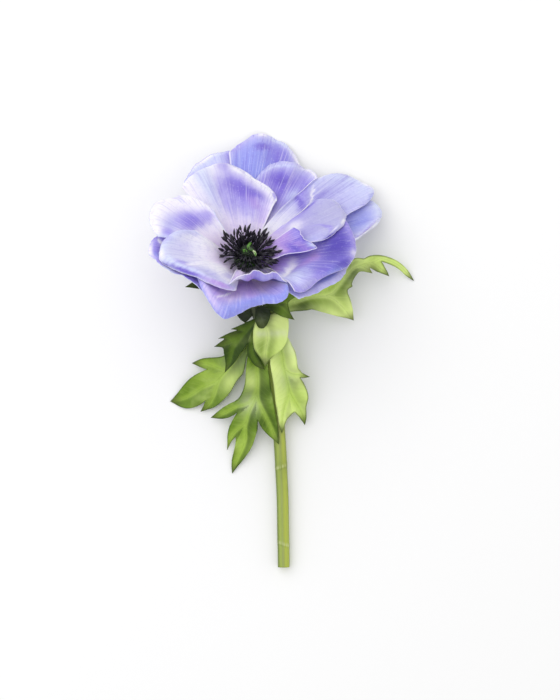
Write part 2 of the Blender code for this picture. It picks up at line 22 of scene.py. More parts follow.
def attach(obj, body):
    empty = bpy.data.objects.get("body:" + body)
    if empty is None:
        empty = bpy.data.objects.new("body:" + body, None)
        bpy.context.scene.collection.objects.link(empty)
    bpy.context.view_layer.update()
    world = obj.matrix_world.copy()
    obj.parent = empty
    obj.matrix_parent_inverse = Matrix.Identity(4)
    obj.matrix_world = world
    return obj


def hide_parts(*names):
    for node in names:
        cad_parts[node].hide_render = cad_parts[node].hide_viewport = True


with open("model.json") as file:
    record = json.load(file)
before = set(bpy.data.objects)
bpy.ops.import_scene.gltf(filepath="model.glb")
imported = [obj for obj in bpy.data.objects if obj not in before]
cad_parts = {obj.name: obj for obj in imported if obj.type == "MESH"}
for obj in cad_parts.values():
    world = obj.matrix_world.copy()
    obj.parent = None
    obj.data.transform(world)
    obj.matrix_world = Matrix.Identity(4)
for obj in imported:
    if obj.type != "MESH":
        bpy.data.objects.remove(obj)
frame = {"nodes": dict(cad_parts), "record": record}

bl_info = {
    "name": "Cut anemone",
    "version": (1, 0, 0),
    "blender": (4, 5, 0),
    "location": "View3D > Sidebar > Anemone",
    "description": "Builds the looks of a cut anemone over its solids",
    "category": "Add Mesh",
}

MM = 0.001

# Points nearer than this are one point.
WELD = 0.001 * MM

# Thickness of the solids' sheets, and how exactly their two sides match.
PETAL_SOLID = 0.4 * MM
LEAF_SOLID = 0.45 * MM
MATCH = 0.004 * MM

# Petals start within this distance of the head's axis.
CLAW_REACH = 5.9 * MM

# A leaf's corner sharper than this is a tip.
TIP_ANGLE = math.radians(95)

# The leaves' common foot beside the stem.
RUFF = Vector((-10.2, 12.6, 14.5)) * MM


# ---------------------------------------------------------------- small tools

def pick(obj):
    """Make one object the whole selection and the active one."""
    bpy.ops.object.select_all(action="DESELECT")
    obj.select_set(True)
    bpy.context.view_layer.objects.active = obj


def modify(obj, kind, **settings):
    """Add a modifier and apply it at once."""
    pick(obj)
    modifier = obj.modifiers.new(kind.lower(), kind)
    for name, value in settings.items():
        setattr(modifier, name, value)
    bpy.ops.object.modifier_apply(modifier=modifier.name)


def added(primitive, location=(0, 0, 0), **settings):
    """Add a primitive with nothing else selected, and put its place into its mesh."""
    bpy.ops.object.select_all(action="DESELECT")
    primitive(location=location, **settings)
    bpy.ops.object.transform_apply(location=True)
    return bpy.context.object


def mapped_grid(columns, rows, place):
    """A grid of quads whose points stand where place(column, row) says."""
    grid = added(bpy.ops.mesh.primitive_grid_add, x_subdivisions=columns, y_subdivisions=rows,
                 size=1, calc_uvs=True)
    for vert in grid.data.vertices:
        column = round((vert.co.x + 0.5) * columns)
        row = round((vert.co.y + 0.5) * rows)
        vert.co = place(column, row)
    return grid


def close_up(obj):
    """Merge the seam and poles of a grid that was rolled up, and turn its faces outwards."""
    pick(obj)
    bpy.ops.object.mode_set(mode="EDIT")
    bpy.ops.mesh.select_all(action="SELECT")
    bpy.ops.mesh.remove_doubles(threshold=WELD)
    bpy.ops.mesh.normals_make_consistent(inside=False)
    bpy.ops.object.mode_set(mode="OBJECT")


def join(objects):
    """Join objects into the first one."""
    bpy.ops.object.select_all(action="DESELECT")
    for obj in objects:
        obj.select_set(True)
    bpy.context.view_layer.objects.active = objects[0]
    bpy.ops.object.join()
    return objects[0]


def curve_at(points, share):
    """The place at a share of a smooth line through points, and the way it runs there."""
    spot = min(max(share, 0.0), 1.0) * (len(points) - 1)
    index = min(int(spot), len(points) - 2)
    t = spot - index
    b, c = points[index], points[index + 1]
    a = points[index - 1] if index else b * 2 - c
    d = points[index + 2] if index + 2 < len(points) else c * 2 - b
    place = ((b * 2) + (c - a) * t + (a * 2 - b * 5 + c * 4 - d) * t ** 2
             + (b * 3 - a - c * 3 + d) * t ** 3) / 2
    way = ((c - a) + (a * 2 - b * 5 + c * 4 - d) * 2 * t + (b * 3 - a - c * 3 + d) * 3 * t ** 2) / 2
    return place, way.normalized()


def object_of(bm, name):
    """Turn a bmesh into an object of the scene."""
    mesh = bpy.data.meshes.new(name)
    bm.to_mesh(mesh)
    bm.free()
    made = bpy.data.objects.new(name, mesh)
    bpy.context.scene.collection.objects.link(made)
    return made


def read_points(mesh, field="co"):
    """The places or the normals of a mesh's points, a row for each."""
    flat = np.empty(len(mesh.vertices) * 3)
    mesh.vertices.foreach_get(field, flat)
    return flat.reshape(-1, 3)


def set_points(mesh, points):
    """Move a mesh's points to new places, a row for each."""
    mesh.vertices.foreach_set("co", np.asarray(points).ravel())
    mesh.update()


def ripple(x, y, seed):
    """Smooth noise between about -1 and 1, the same on every run."""
    return noise.noise(Vector((x, y, seed)))


def finish_piece(obj, name, node, material=None):
    """Name a piece, paint it unless it is painted already, and let it stand for its solid."""
    obj.name = name
    obj.data.name = name
    if material is not None:
        obj.data.materials.clear()
        obj.data.materials.append(material)
    pick(obj)
    bpy.ops.object.shade_smooth()
    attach(obj, "root")
    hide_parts(node)
    slot_of(node)


def slot_of(node):
    """The record's material slot of a node."""
    rows = frame["record"]["subparts"]
    return next(row["material_slot"] for row in rows if row["node"] == node)


# ------------------------------------------------------------ kinds of setting

def metres(name, description, default):
    """A setting that is a length in metres."""
    return FloatProperty(name=name, description=description, default=default,
                         unit="LENGTH", precision=5)


def colour(name, description, default):
    """A setting that is a colour."""
    return FloatVectorProperty(name=name, description=description, default=default,
                               subtype="COLOR", min=0, max=1)


# ------------------------------------------------------------- shader writing

class Value:
    """A shader socket that takes part in Python arithmetic."""

    def __init__(self, paint, socket):
        self.paint = paint
        self.socket = socket

    def math(self, operation, other=0.0):
        """The result of one Math node."""
        return self.paint.node("ShaderNodeMath", {"operation": operation}, {0: self, 1: other})

    def __add__(self, other):
        return self.math("ADD", other)

    def __sub__(self, other):
        return self.math("SUBTRACT", other)

    def __mul__(self, other):
        return self.math("MULTIPLY", other)

    def __truediv__(self, other):
        return self.math("DIVIDE", other)

    def __rsub__(self, other):
        return self.paint.node("ShaderNodeMath", {"operation": "SUBTRACT"}, {0: other, 1: self})

    __radd__ = __add__
    __rmul__ = __mul__

    def fade(self):
        """1 where the value is 0, and falling towards 0 as it grows."""
        return (0 - self).math("EXPONENT")

    def rise(self, low, high):
        """A smooth step from 0 at low to 1 at high, which may also be the lower."""
        if low > high:
            return 1 - self.rise(high, low)
        return self.paint.node("ShaderNodeMapRange", {"interpolation_type": "SMOOTHSTEP"},
                               {"Value": self, "From Min": low, "From Max": high})


class Paint:
    """A material that is being made in the colours of one group of settings."""

    def __init__(self, name, settings, subsurface=0.0, sheen=0.0, specular=0.5):
        self.settings = settings
        self.shade = None
        self.material = bpy.data.materials.new(name)
        self.material.use_nodes = True
        self.tree = self.material.node_tree
        self.shader = self.tree.nodes["Principled BSDF"]
        self.shader.inputs["Subsurface Weight"].default_value = subsurface
        self.shader.inputs["Subsurface Radius"].default_value = (1.0, 0.8, 1.2)
        self.shader.inputs["Subsurface Scale"].default_value = 0.8 * MM
        self.shader.inputs["Sheen Weight"].default_value = sheen
        self.shader.inputs["Specular IOR Level"].default_value = specular

    def node(self, kind, settings, sockets, output=0):
        """Add a node: its settings first, then its sockets' values or links."""
        made = self.tree.nodes.new(kind)
        for name, value in settings.items():
            setattr(made, name, value)
        for key, value in sockets.items():
            self.feed(made.inputs[key], value)
        return Value(self, made.outputs[output])

    def feed(self, socket, value):
        """Link a value to a socket, or set the socket to a plain number or colour."""
        if isinstance(value, Value):
            self.tree.links.new(value.socket, socket)
        elif socket.type == "RGBA":
            socket.default_value = (*value, 1.0)
        else:
            socket.default_value = value

    def attribute(self, name):
        """A number that each point of the mesh stores."""
        return self.node("ShaderNodeAttribute", {"attribute_name": name}, {}, "Fac")

    def place(self):
        """Where the surface is, in the object's own coordinates."""
        return self.node("ShaderNodeTexCoord", {}, {}, "Object")

    def map(self, name):
        """The surface's own map: across or round, and along, each from 0 to 1."""
        return self.split(self.node("ShaderNodeUVMap", {"uv_map": name}, {}))[:2]

    def split(self, vector):
        """A vector's three numbers."""
        parts = self.node("ShaderNodeSeparateXYZ", {}, {"Vector": vector}).socket.node
        return [Value(self, output) for output in parts.outputs]

    def vector(self, x, y, z):
        """A vector of three numbers."""
        return self.node("ShaderNodeCombineXYZ", {}, {"X": x, "Y": y, "Z": z})

    def noise(self, scale, detail, vector=None):
        """Soft noise over the object's own coordinates, unless it is given others."""
        sockets = {"Vector": vector or self.place(), "Scale": scale, "Detail": detail}
        return self.node("ShaderNodeTexNoise", {}, sockets, "Fac")

    def tint(self, name):
        """One of the settings' colours."""
        return tuple(getattr(self.settings, name))

    def blend(self, low, high, factor):
        """Start the shade between two of the settings' colours."""
        self.shade = self.tint(low)
        self.over(high, factor)

    def over(self, name, factor):
        """Lay one of the settings' colours over the shade."""
        self.shade = self.node("ShaderNodeMix", {"data_type": "RGBA"},
                               {0: factor, 6: self.shade, 7: self.tint(name)}, 2)

    def bump(self, height, distance, strength=1.0):
        """Raise the surface by the height, whose full range is the distance."""
        normal = self.node("ShaderNodeBump", {},
                           {"Height": height, "Distance": distance, "Strength": strength})
        self.feed(self.shader.inputs["Normal"], normal)

    def done(self, roughness):
        """Give the shader its shade and roughness, and return the material."""
        self.feed(self.shader.inputs["Base Color"], self.shade)
        self.feed(self.shader.inputs["Roughness"], roughness)
        return self.material


# ------------------------------------------------------- reading the solids

def merged(node):
    """A node's mesh with its loose triangles joined."""
    bm = bmesh.new()
    bm.from_mesh(frame["nodes"][node].data)
    bmesh.ops.remove_doubles(bm, verts=bm.verts, dist=WELD)
    bm.verts.index_update()
    return bm


def centre_of(node):
    """The middle of a node's points."""
    bm = merged(node)
    middle = sum((vert.co for vert in bm.verts), Vector()) / len(bm.verts)
    bm.free()
    return middle


HEAD = centre_of("receptacle")
AXIS = (centre_of("pistil") - HEAD).normalized()


def reach(point):
    """Distance from the flower head's axis."""
    offset = point - HEAD
    return (offset - AXIS * offset.dot(AXIS)).length


def tree_of(verts):
    """A search tree of vertices by their order in the list."""
    verts = list(verts)
    tree = KDTree(len(verts))
    for index, vert in enumerate(verts):
        tree.insert(vert.co, index)
    tree.balance()
    return tree


def upper_side(node, thickness, up):
    """The upper side of a solid sheet: each point has its mate just its thickness away."""
    bm = merged(node)
    tree = tree_of(bm.verts)
    mates = {}
    for vert in bm.verts:
        near = tree.find_range(vert.co, thickness + MATCH)
        mates[vert.index] = min((abs(gap - thickness), index) for _, index, gap in near)[1]
    rim = [face for face in bm.faces
           if {mates[vert.index] for vert in face.verts} & {vert.index for vert in face.verts}]
    bmesh.ops.delete(bm, geom=rim, context="FACES")
    under = [face for side in islands(bm) if facing(side).dot(up) < 0 for face in side]
    bmesh.ops.delete(bm, geom=under, context="FACES")
    return bm


def islands(bm):
    """The faces of a mesh in connected groups."""
    left = set(bm.faces)
    groups = []
    while left:
        group = [left.pop()]
        for face in group:
            for edge in face.edges:
                near = [other for other in edge.link_faces if other in left]
                left.difference_update(near)
                group += near
        groups.append(group)
    return groups


def facing(faces):
    """Which way some faces point on the whole."""
    return sum((face.normal * face.calc_area() for face in faces), Vector())


def rim_of(bm):
    """The vertices on a sheet's rim."""
    return [vert for vert in bm.verts if vert.is_boundary]


def steps_from(starts):
    """How many edges away each vertex is from the starting ones."""
    steps = {vert: 0 for vert in starts}
    queue = list(starts)
    for vert in queue:
        for edge in vert.link_edges:
            other = edge.other_vert(vert)
            if other not in steps:
                steps[other] = steps[vert] + 1
                queue.append(other)
    return steps


def control_grid(node):
    """A petal's points by (column, row): rows from the claw, columns anticlockwise."""
    bm = upper_side(node, PETAL_SOLID, AXIS)
    claw = [vert for vert in rim_of(bm) if reach(vert.co) < CLAW_REACH]
    rows = steps_from(claw)
    ends = [vert for vert in claw
            if sum(edge.is_boundary and edge.other_vert(vert) in claw
                   for edge in vert.link_edges) == 1]
    first, second = (end.co - HEAD for end in ends)
    start = ends[0] if first.cross(second).dot(AXIS) > 0 else ends[1]
    side = [start]
    last = max(rows.values())
    while rows[side[-1]] < last:
        side.append(next(edge.other_vert(side[-1]) for edge in side[-1].link_edges
                         if edge.is_boundary and rows[edge.other_vert(side[-1])] > rows[side[-1]]))
    columns = steps_from(side)
    grid = {(columns[vert], rows[vert]): vert.co.copy() for vert in bm.verts}
    bm.free()
    return grid


# --------------------------------------------------------------------- petals

# How sharply a patch of colour ends: at 1 it fades as a bell curve does.
PATCH_EDGE = 1.3


@dataclass
class Patch:
    """A soft spot of colour: its place and size across and along a petal, and its slant."""

    colour: str
    u: float
    v: float
    wide: float
    long: float
    strength: float = 1.0
    slant: float = 0.0


@dataclass
class Swell:
    """A soft ridge of a petal, or a hollow where its height in millimetres is negative."""

    height: float
    u: float
    v: float
    wide: float
    long: float
    slant: float = 0.0


@dataclass
class PetalLook:
    """How one petal is coloured, from its claw to its rim, and how it is folded.

    Each row of patches makes a Patch, and each row of swells a Swell.
    """

    node: str
    base: str
    body: str
    tip: str
    rim: str
    rim_width: float = 0.03
    streaks: float = 0.5
    furrow: float = 0.22
    patches: tuple = ()
    swells: tuple = ()


PETAL_LOOKS = (
    PetalLook("petal_top", "lilac", "blue", "pale", "white", 0.03, 0.9, 0.25, (
        ("lilac", 0.88, 0.85, 0.12, 0.2, 0.6), ("blue", 0.78, 0.6, 0.3, 0.12, 0.9),
        ("violet", 0.38, 0.66, 0.16, 0.11, 0.7), ("violet", 0.58, 0.68, 0.1, 0.025, 0.8),
        ("white", 0.12, 0.9, 0.2, 0.15, 0.9), ("ice", 0.4, 0.9, 0.14, 0.12, 0.8),
        ("white", 0.61, 0.92, 0.05, 0.12)), (
        (0.9, 0.32, 0.86, 0.16, 0.3), (0.8, 0.82, 0.86, 0.14, 0.3), (-0.3, 0.61, 0.92, 0.06, 0.3))),
    PetalLook("petal_top_left_back", "pale", "pale", "ice", "lilac", 0.05, 0.5, 0.2, (
        ("lilac", 0.03, 0.78, 0.15, 0.2, 0.9), ("lilac", 0.8, 0.8, 0.15, 0.12, 0.6),
        ("white", 0.4, 0.92, 0.2, 0.1, 0.9))),
    PetalLook("petal_upper_right", "white", "lilac", "pale", "ice", 0.02, 0.8, 0.25, (
        ("white", 0.28, 0.88, 0.2, 0.13), ("pale", 0.7, 0.88, 0.25, 0.1, 0.9),
        ("lilac", 0.28, 0.64, 0.15, 0.04, 0.9), ("violet", 0.62, 0.61, 0.22, 0.08, 1.0, 0.1),
        ("deep", 0.6, 0.6, 0.08, 0.025, 0.5), ("violet", 0.52, 0.5, 0.08, 0.07, 0.7),
        ("ice", 0.33, 0.48, 0.1, 0.06, 0.7), ("ice", 0.66, 0.76, 0.22, 0.03, 0.7, -0.05),
        ("white", 0.8, 0.52, 0.1, 0.035, 1.0, 0.5)), (
        (0.8, 0.3, 0.8, 0.13, 0.25), (0.8, 0.75, 0.8, 0.14, 0.25), (-0.6, 0.52, 0.85, 0.06, 0.3))),
    # On the roll near the rim the white patch is a painted highlight, and the violet streak under it
    # is painted shadow of the roll.
    PetalLook("petal_upper_left", "blush", "white", "white", "white", 0.03, 0.6, 0.25, (
        ("blush", 0.1, 0.42, 0.18, 0.2, 0.9), ("lilac", 0.45, 0.5, 0.37, 0.22),
        ("violet", 0.5, 0.56, 0.2, 0.08, 0.8), ("violet", 0.3, 0.6, 0.2, 0.05, 0.8, -0.2),
        ("lilac", 0.63, 0.76, 0.05, 0.12, 0.8), ("lilac", 0.64, 0.38, 0.1, 0.12, 0.7),
        ("lilac", 0.04, 0.88, 0.05, 0.14, 0.8), ("white", 0.3, 0.79, 0.2, 0.09),
        ("white", 0.48, 0.73, 0.09, 0.04, 0.9), ("grey", 0.55, 0.86, 0.1, 0.05, 0.9),
        ("ice", 0.8, 0.68, 0.07, 0.25, 0.8), ("pink", 0.28, 0.5, 0.1, 0.07, 0.5)), (
        (1.5, 0.32, 0.8, 0.26, 0.07, -0.1), (-0.9, 0.35, 0.65, 0.25, 0.04, -0.1),
        (0.7, 0.97, 0.6, 0.06, 0.4), (0.4, 0.72, 0.6, 0.04, 0.3))),
    PetalLook("petal_right", "white", "pale", "ice", "white", 0.02, 0.8, 0.2, (
        ("pale", 0.12, 0.85, 0.2, 0.2), ("blue", 0.28, 0.92, 0.04, 0.12, 0.6),
        ("white", 0.45, 0.95, 0.07, 0.1), ("white", 0.85, 0.85, 0.06, 0.15, 0.9),
        ("grey", 0.66, 0.9, 0.06, 0.12, 0.6), ("lilac", 0.86, 0.53, 0.28, 0.07, 0.95, 0.75),
        ("violet", 0.78, 0.43, 0.25, 0.018, 0.8, 0.5), ("violet", 0.62, 0.5, 0.04, 0.08, 0.5),
        ("white", 0.69, 0.48, 0.12, 0.015, 0.8, 1.1), ("lilac", 0.97, 0.9, 0.04, 0.2, 0.6)), (
        (0.7, 0.88, 0.8, 0.05, 0.3), (-0.4, 0.8, 0.5, 0.2, 0.03, 0.6))),
    PetalLook("petal_far_right", "ice", "pale", "ice", "ice", 0.03, 0.5, 0.2, (
        ("blue", 0.55, 0.62, 0.3, 0.11, 0.9), ("blue", 0.9, 0.8, 0.06, 0.2),
        ("pale", 0.2, 0.68, 0.12, 0.08, 0.9), ("lilac", 0.31, 0.8, 0.18, 0.035, 0.9),
        ("white", 0.3, 0.94, 0.2, 0.12)), (
        (0.8, 0.28, 0.94, 0.1, 0.12), (-0.4, 0.4, 0.8, 0.2, 0.04, 0.3))),
    PetalLook("petal_left_upper", "blush", "white", "white", "ice", 0.04, 0.5, 0.25, (
        ("pale", 0.78, 0.59, 0.22, 0.09, 1.0, 0.3), ("lilac", 0.52, 0.48, 0.3, 0.12),
        ("violet", 0.52, 0.45, 0.24, 0.07, 0.45), ("lilac", 0.22, 0.53, 0.16, 0.07, 0.7, -0.5),
        ("lilac", 0.95, 0.66, 0.07, 0.05, 0.8, 0.6), ("pale", 0.35, 0.85, 0.04, 0.15, 0.6),
        ("pale", 0.05, 0.8, 0.05, 0.15, 0.4)), (
        (-0.5, 0.55, 0.46, 0.3, 0.08), (0.5, 0.4, 0.85, 0.5, 0.1))),
    PetalLook("petal_left", "blush", "white", "ice", "white", 0.02, 0.4, 0.25, (
        ("pale", 0.38, 0.58, 0.2, 0.17, 0.6), ("pale", 0.25, 0.88, 0.045, 0.15),
        ("white", 0.4, 0.88, 0.06, 0.1), ("violet", 0.64, 0.93, 0.13, 0.07),
        ("pink", 0.88, 0.9, 0.13, 0.13, 0.95), ("lilac", 0.58, 0.72, 0.07, 0.07, 0.9),
        ("pale", 0.76, 0.67, 0.12, 0.14), ("lilac", 0.86, 0.42, 0.08, 0.1, 0.6),
        ("deep", 0.5, 0.98, 0.04, 0.04, 0.9), ("white", 0.6, 0.63, 0.03, 0.12, 0.8, 1.5),
        ("pale", 0.1, 0.75, 0.1, 0.1, 0.6), ("blush", 0.65, 0.2, 0.2, 0.08, 0.8)), (
        (0.7, 0.36, 0.85, 0.08, 0.3, 0.2), (-0.4, 0.5, 0.8, 0.05, 0.3, 0.4),
        (0.6, 0.76, 0.68, 0.13, 0.15), (-0.3, 0.6, 0.6, 0.04, 0.15, 1.0))),
    PetalLook("petal_left_low", "violet", "violet", "lilac", "ice", 0.02, 0.5, 0.2, (
        ("violet", 0.85, 0.9, 0.08, 0.2), ("white", 0.33, 0.95, 0.13, 0.1),
        ("white", 0.15, 0.72, 0.08, 0.05, 0.9, -1.0), ("blue", 0.42, 0.78, 0.08, 0.07, 0.8),
        ("ice", 0.66, 0.95, 0.08, 0.1, 0.8))),
    # Its pale base and body are painted light that lifts the shade under petal_front_inner's overhang.
    PetalLook("petal_front", "white", "blush", "blue", "ice", 0.015, 0.6, 0.25, (
        ("pink", 0.6, 0.42, 0.35, 0.2, 0.45), ("lilac", 0.08, 0.9, 0.08, 0.12, 0.8),
        ("blush", 0.25, 0.84, 0.14, 0.12, 0.8), ("pink", 0.24, 0.62, 0.12, 0.12, 0.8),
        ("pink", 0.62, 0.6, 0.07, 0.2, 0.8), ("pink", 0.6, 0.36, 0.1, 0.14, 0.7),
        ("blue", 0.7, 0.87, 0.22, 0.06), ("white", 0.36, 0.55, 0.08, 0.03, 0.9, -1.6),
        ("blue", 0.45, 0.82, 0.1, 0.14, 0.9), ("blush", 0.9, 0.35, 0.1, 0.12, 0.6),
        ("lilac", 0.88, 0.6, 0.1, 0.14, 0.7)), (
        (0.9, 0.25, 0.85, 0.12, 0.3), (-0.4, 0.42, 0.8, 0.06, 0.25), (0.8, 0.75, 0.6, 0.1, 0.3),
        (-0.3, 0.55, 0.5, 0.04, 0.2))),
    PetalLook("petal_lower_right", "pink", "lilac", "lilac", "white", 0.015, 0.8, 0.3, (
        ("ice", 0.2, 0.58, 0.2, 0.17, 0.8), ("blue", 0.44, 0.85, 0.09, 0.2),
        ("violet", 0.4, 0.76, 0.09, 0.16, 0.8), ("deep", 0.76, 0.63, 0.3, 0.16),
        ("deep", 0.54, 0.85, 0.07, 0.18, 0.9), ("lilac", 0.92, 0.9, 0.07, 0.12, 0.8),
        ("white", 0.69, 0.93, 0.045, 0.15, 0.6), ("pink", 0.6, 0.44, 0.18, 0.06, 0.9),
        ("violet", 0.79, 0.27, 0.08, 0.12), ("pink", 0.2, 0.29, 0.2, 0.05, 0.9, -0.3),
        ("ice", 0.9, 0.45, 0.05, 0.045, 0.9), ("grey", 0.17, 0.85, 0.1, 0.13, 0.7),
        ("white", 0.36, 0.37, 0.32, 0.045, 1.0, -0.34)), (
        (1.2, 0.36, 0.38, 0.3, 0.06, -0.34), (-0.4, 0.4, 0.52, 0.3, 0.05, -0.34),
        (0.5, 0.3, 0.72, 0.06, 0.3), (-0.3, 0.5, 0.75, 0.05, 0.3), (0.6, 0.7, 0.9, 0.06, 0.2))),
    PetalLook("petal_lower_right_back", "lilac", "pale", "pale", "ice", 0.03, 0.5, 0.2, (
        ("blue", 0.46, 0.68, 0.16, 0.1), ("ice", 0.2, 0.5, 0.12, 0.15, 0.8))),
    PetalLook("petal_inner_right", "blush", "lilac", "pale", "white", 0.05, 0.3, 0.15, (
        ("grey", 0.55, 0.7, 0.35, 0.35), ("deep", 0.2, 0.94, 0.07, 0.06),
        ("white", 0.28, 0.8, 0.035, 0.05, 0.9), ("white", 0.4, 0.88, 0.05, 0.08, 0.9),
        ("lilac", 0.36, 0.63, 0.14, 0.03, 0.9, -1.0), ("white", 0.68, 0.36, 0.12, 0.08, 0.8),
        ("violet", 0.86, 0.65, 0.05, 0.12, 0.7, 3.0), ("white", 0.93, 0.5, 0.05, 0.1, 0.8, 3.0),
        ("ice", 0.15, 0.55, 0.15, 0.15, 0.5)), (
        (0.7, 0.38, 0.68, 0.16, 0.06, -1.0), (-0.4, 0.32, 0.6, 0.16, 0.04, -1.0),
        (0.5, 0.6, 0.8, 0.06, 0.3))),
    PetalLook("petal_inner_right_low", "pink", "pink", "violet", "white", 0.035, 0.5, 0.2, (
        ("lilac", 0.82, 0.75, 0.18, 0.2, 0.8), ("violet", 0.25, 0.88, 0.12, 0.1, 0.9),
        ("violet", 0.47, 0.5, 0.25, 0.12), ("violet", 0.68, 0.66, 0.04, 0.1, 0.9, 1.0),
        ("violet", 0.3, 0.58, 0.06, 0.06, 0.8, -1.0), ("ice", 0.52, 0.86, 0.07, 0.14),
        ("blush", 0.5, 0.26, 0.3, 0.06, 0.7), ("deep", 0.45, 0.5, 0.12, 0.02, 0.4)), (
        (0.5, 0.45, 0.85, 0.05, 0.2), (0.5, 0.75, 0.85, 0.08, 0.2))),
    # Its lower part and a patch at its middle are painted shade: the stamens' shadow on it.
    PetalLook("petal_front_inner", "shade", "shade", "lilac", "white", 0.02, 0.5, 0.3, (
        ("blush", 0.1, 0.5, 0.12, 0.25, 0.9), ("shade", 0.72, 0.5, 0.26, 0.22),
        ("pink", 0.3, 0.9, 0.08, 0.1, 0.8), ("white", 0.12, 0.93, 0.1, 0.1, 0.9),
        ("pale", 0.62, 0.88, 0.15, 0.1, 0.7), ("ice", 0.93, 0.88, 0.1, 0.14, 0.9),
        ("violet", 0.45, 0.8, 0.1, 0.06, 0.7)), (
        (0.5, 0.3, 0.9, 0.06, 0.2), (0.5, 0.7, 0.9, 0.06, 0.2))),
)


class PetalSettings(bpy.types.PropertyGroup):
    """Sizes and colours of the petals."""

    thickness: metres("Thickness", "Thickness of a petal", 0.26 * MM)
    levels: IntProperty(
        name="Levels", description="How often a petal's sheet is subdivided", default=3,
        min=1, max=4)
    white: colour("White", "Petals' palest parts", (0.86, 0.83, 0.94))
    ice: colour("Ice", "Bluish white of the petals", (0.6, 0.64, 0.9))
    pale: colour("Pale", "Pale lilac of the petals", (0.48, 0.47, 0.82))
    lilac: colour("Lilac", "Lilac of the petals", (0.33, 0.28, 0.74))
    violet: colour("Violet", "Violet of the petals", (0.16, 0.105, 0.58))
    deep: colour("Deep violet", "Petals' darkest parts", (0.075, 0.048, 0.42))
    blue: colour("Blue", "Periwinkle blue of the petals", (0.28, 0.31, 0.78))
    pink: colour("Pink", "Pinkish violet near the petals' claws", (0.42, 0.27, 0.68))
    blush: colour("Blush", "Pinkish white near the petals' claws", (0.68, 0.56, 0.84))
    grey: colour("Grey", "Greyish lilac of the petals", (0.44, 0.43, 0.68))
    # Shade is painted shadow: the stamens' shadow on the petals beside them.
    shade: colour("Shade", "Dusky violet beside the stamens", (0.06, 0.045, 0.09))


def gap_from(spot, u, v):
    """The square of how far a place is from a spot's middle, as a share of the spot's size."""
    right = u - spot.u
    up = v - spot.v
    if spot.slant:
        up = up - right * spot.slant
    du = right / spot.wide
    dv = up / spot.long
    return du * du + dv * dv


def petal_paint(look, number, settings):
    """Streaked petal colours that follow the petal's own map."""
    paint = Paint(look.node + "_bloom", settings, subsurface=0.25, sheen=0.15)
    across, along = paint.map("petal")
    broad = paint.noise(1.0, 2, paint.vector(across * 9, along * 1.6, number * 7.3))
    fine = paint.noise(1.0, 3, paint.vector(across * 60, along * 2.4, number * 3.1))
    mottle = paint.noise(420.0, 3)
    grain = paint.noise(1300.0, 2)
    wander = paint.noise(140.0, 2) - 0.5
    streak = (fine - 0.5) * look.streaks
    u = across + wander * 0.07
    v = along + (broad - 0.5) * 0.07 + streak * 0.09 + (mottle - 0.5) * 0.04
    # From the claw to the rim, with the look's patches.
    paint.blend(look.base, look.body, v.rise(0.08, 0.45))
    paint.over(look.tip, v.rise(0.5, 0.85))
    for patch in (Patch(*row) for row in look.patches):
        spot = gap_from(patch, u, v).math("POWER", PATCH_EDGE).fade()
        paint.over(patch.colour, spot * patch.strength)
    # Streaks along the petal, mottling and grain.
    paint.over("violet", fine.rise(0.5, 0.7) * along.rise(0.1, 0.5) * (look.streaks * 0.45))
    paint.over("white", fine.rise(0.46, 0.3) * (look.streaks * 0.38))
    paint.over("violet", mottle.rise(0.5, 0.75) * 0.16)
    paint.over("white", grain.rise(0.55, 0.75) * 0.14)
    paint.over("violet", grain.rise(0.45, 0.25) * 0.12)
    # The margin, all round but at the claw.
    side = across.math("MINIMUM", 1 - across) * 0.8
    margin = side.math("MINIMUM", 1 - along)
    paint.over(look.rim, margin.rise(look.rim_width, 0.0) * 0.8)
    paint.bump(fine * 0.6 + broad * 0.4 + grain * 0.1, 0.3 * MM, 0.35)
    return paint.done(0.62)


def petal_skin(look, number, settings):
    """Grow one petal from its control grid."""
    grid = control_grid(look.node)
    columns = max(column for column, _ in grid)
    rows = max(row for _, row in grid)
    petal = mapped_grid(columns, rows, lambda column, row: grid[column, row])
    petal.data.uv_layers[0].name = "petal"
    modify(petal, "SUBSURF", levels=settings.levels, render_levels=settings.levels)
    furrow(petal.data, look, number)
    modify(petal, "SOLIDIFY", thickness=settings.thickness, offset=-1.0)
    finish_piece(petal, look.node + "_skin", look.node, petal_paint(look, number, settings))


def furrow(mesh, look, number):
    """Soft folds along the petal, small crumples, and a rim that waves and frays a little."""
    swells = [Swell(*row) for row in look.swells]
    uv = {}
    for loop, place in zip(mesh.loops, mesh.uv_layers[0].uv):
        uv[loop.vertex_index] = place.vector
    points = read_points(mesh)
    normals = read_points(mesh, "normal")
    moved = points.copy()
    for index, (x, y, z) in enumerate(points):
        u, v = uv[index]
        fold = ripple(u * 6, v * 1.2, number * 5.7) + 0.45 * ripple(u * 17, v * 2, number * 2.9)
        crumple = noise.noise(Vector((x, y, z)) * 230 + Vector((number, 0, 0)))
        rim = max(0.0, v - 0.8) * 5
        edge = ripple(u * 8, 0.5, number * 9.1) + 0.5 * ripple(u * 21, 0.5, number * 4.7)
        height = fold * min(1.0, v * 2.5) * (1 - 0.4 * v) + 0.8 * crumple * v + 0.9 * edge * rim
        out = Vector((x, y, z)) - HEAD
        out = (out - AXIS * out.dot(AXIS)).normalized()
        fray = 0.45 * ripple(u * 14, 3.5, number * 6.3) + 0.3 * ripple(u * 37, 3.5, number * 1.9)
        lift = height * look.furrow
        lift += sum(swell.height * math.exp(-gap_from(swell, u, v)) for swell in swells)
        moved[index] += normals[index] * lift * MM
        moved[index] += np.array(out) * fray * rim * MM
    set_points(mesh, moved)


class ANEMONE_OT_petals(bpy.types.Operator):
    """Grow every petal's skin from its solid"""

    bl_idname = "anemone.petals"
    bl_label = "Petals"

    def execute(self, context):
        for number, look in enumerate(PETAL_LOOKS):
            petal_skin(look, number, context.scene.anemone_petals)
        return {"FINISHED"}


# --------------------------------------------------------------------- leaves

# What each point of a blade stores for its material.
LEAF_FIELDS = ("rib", "edge", "chevron", "tip", "side")

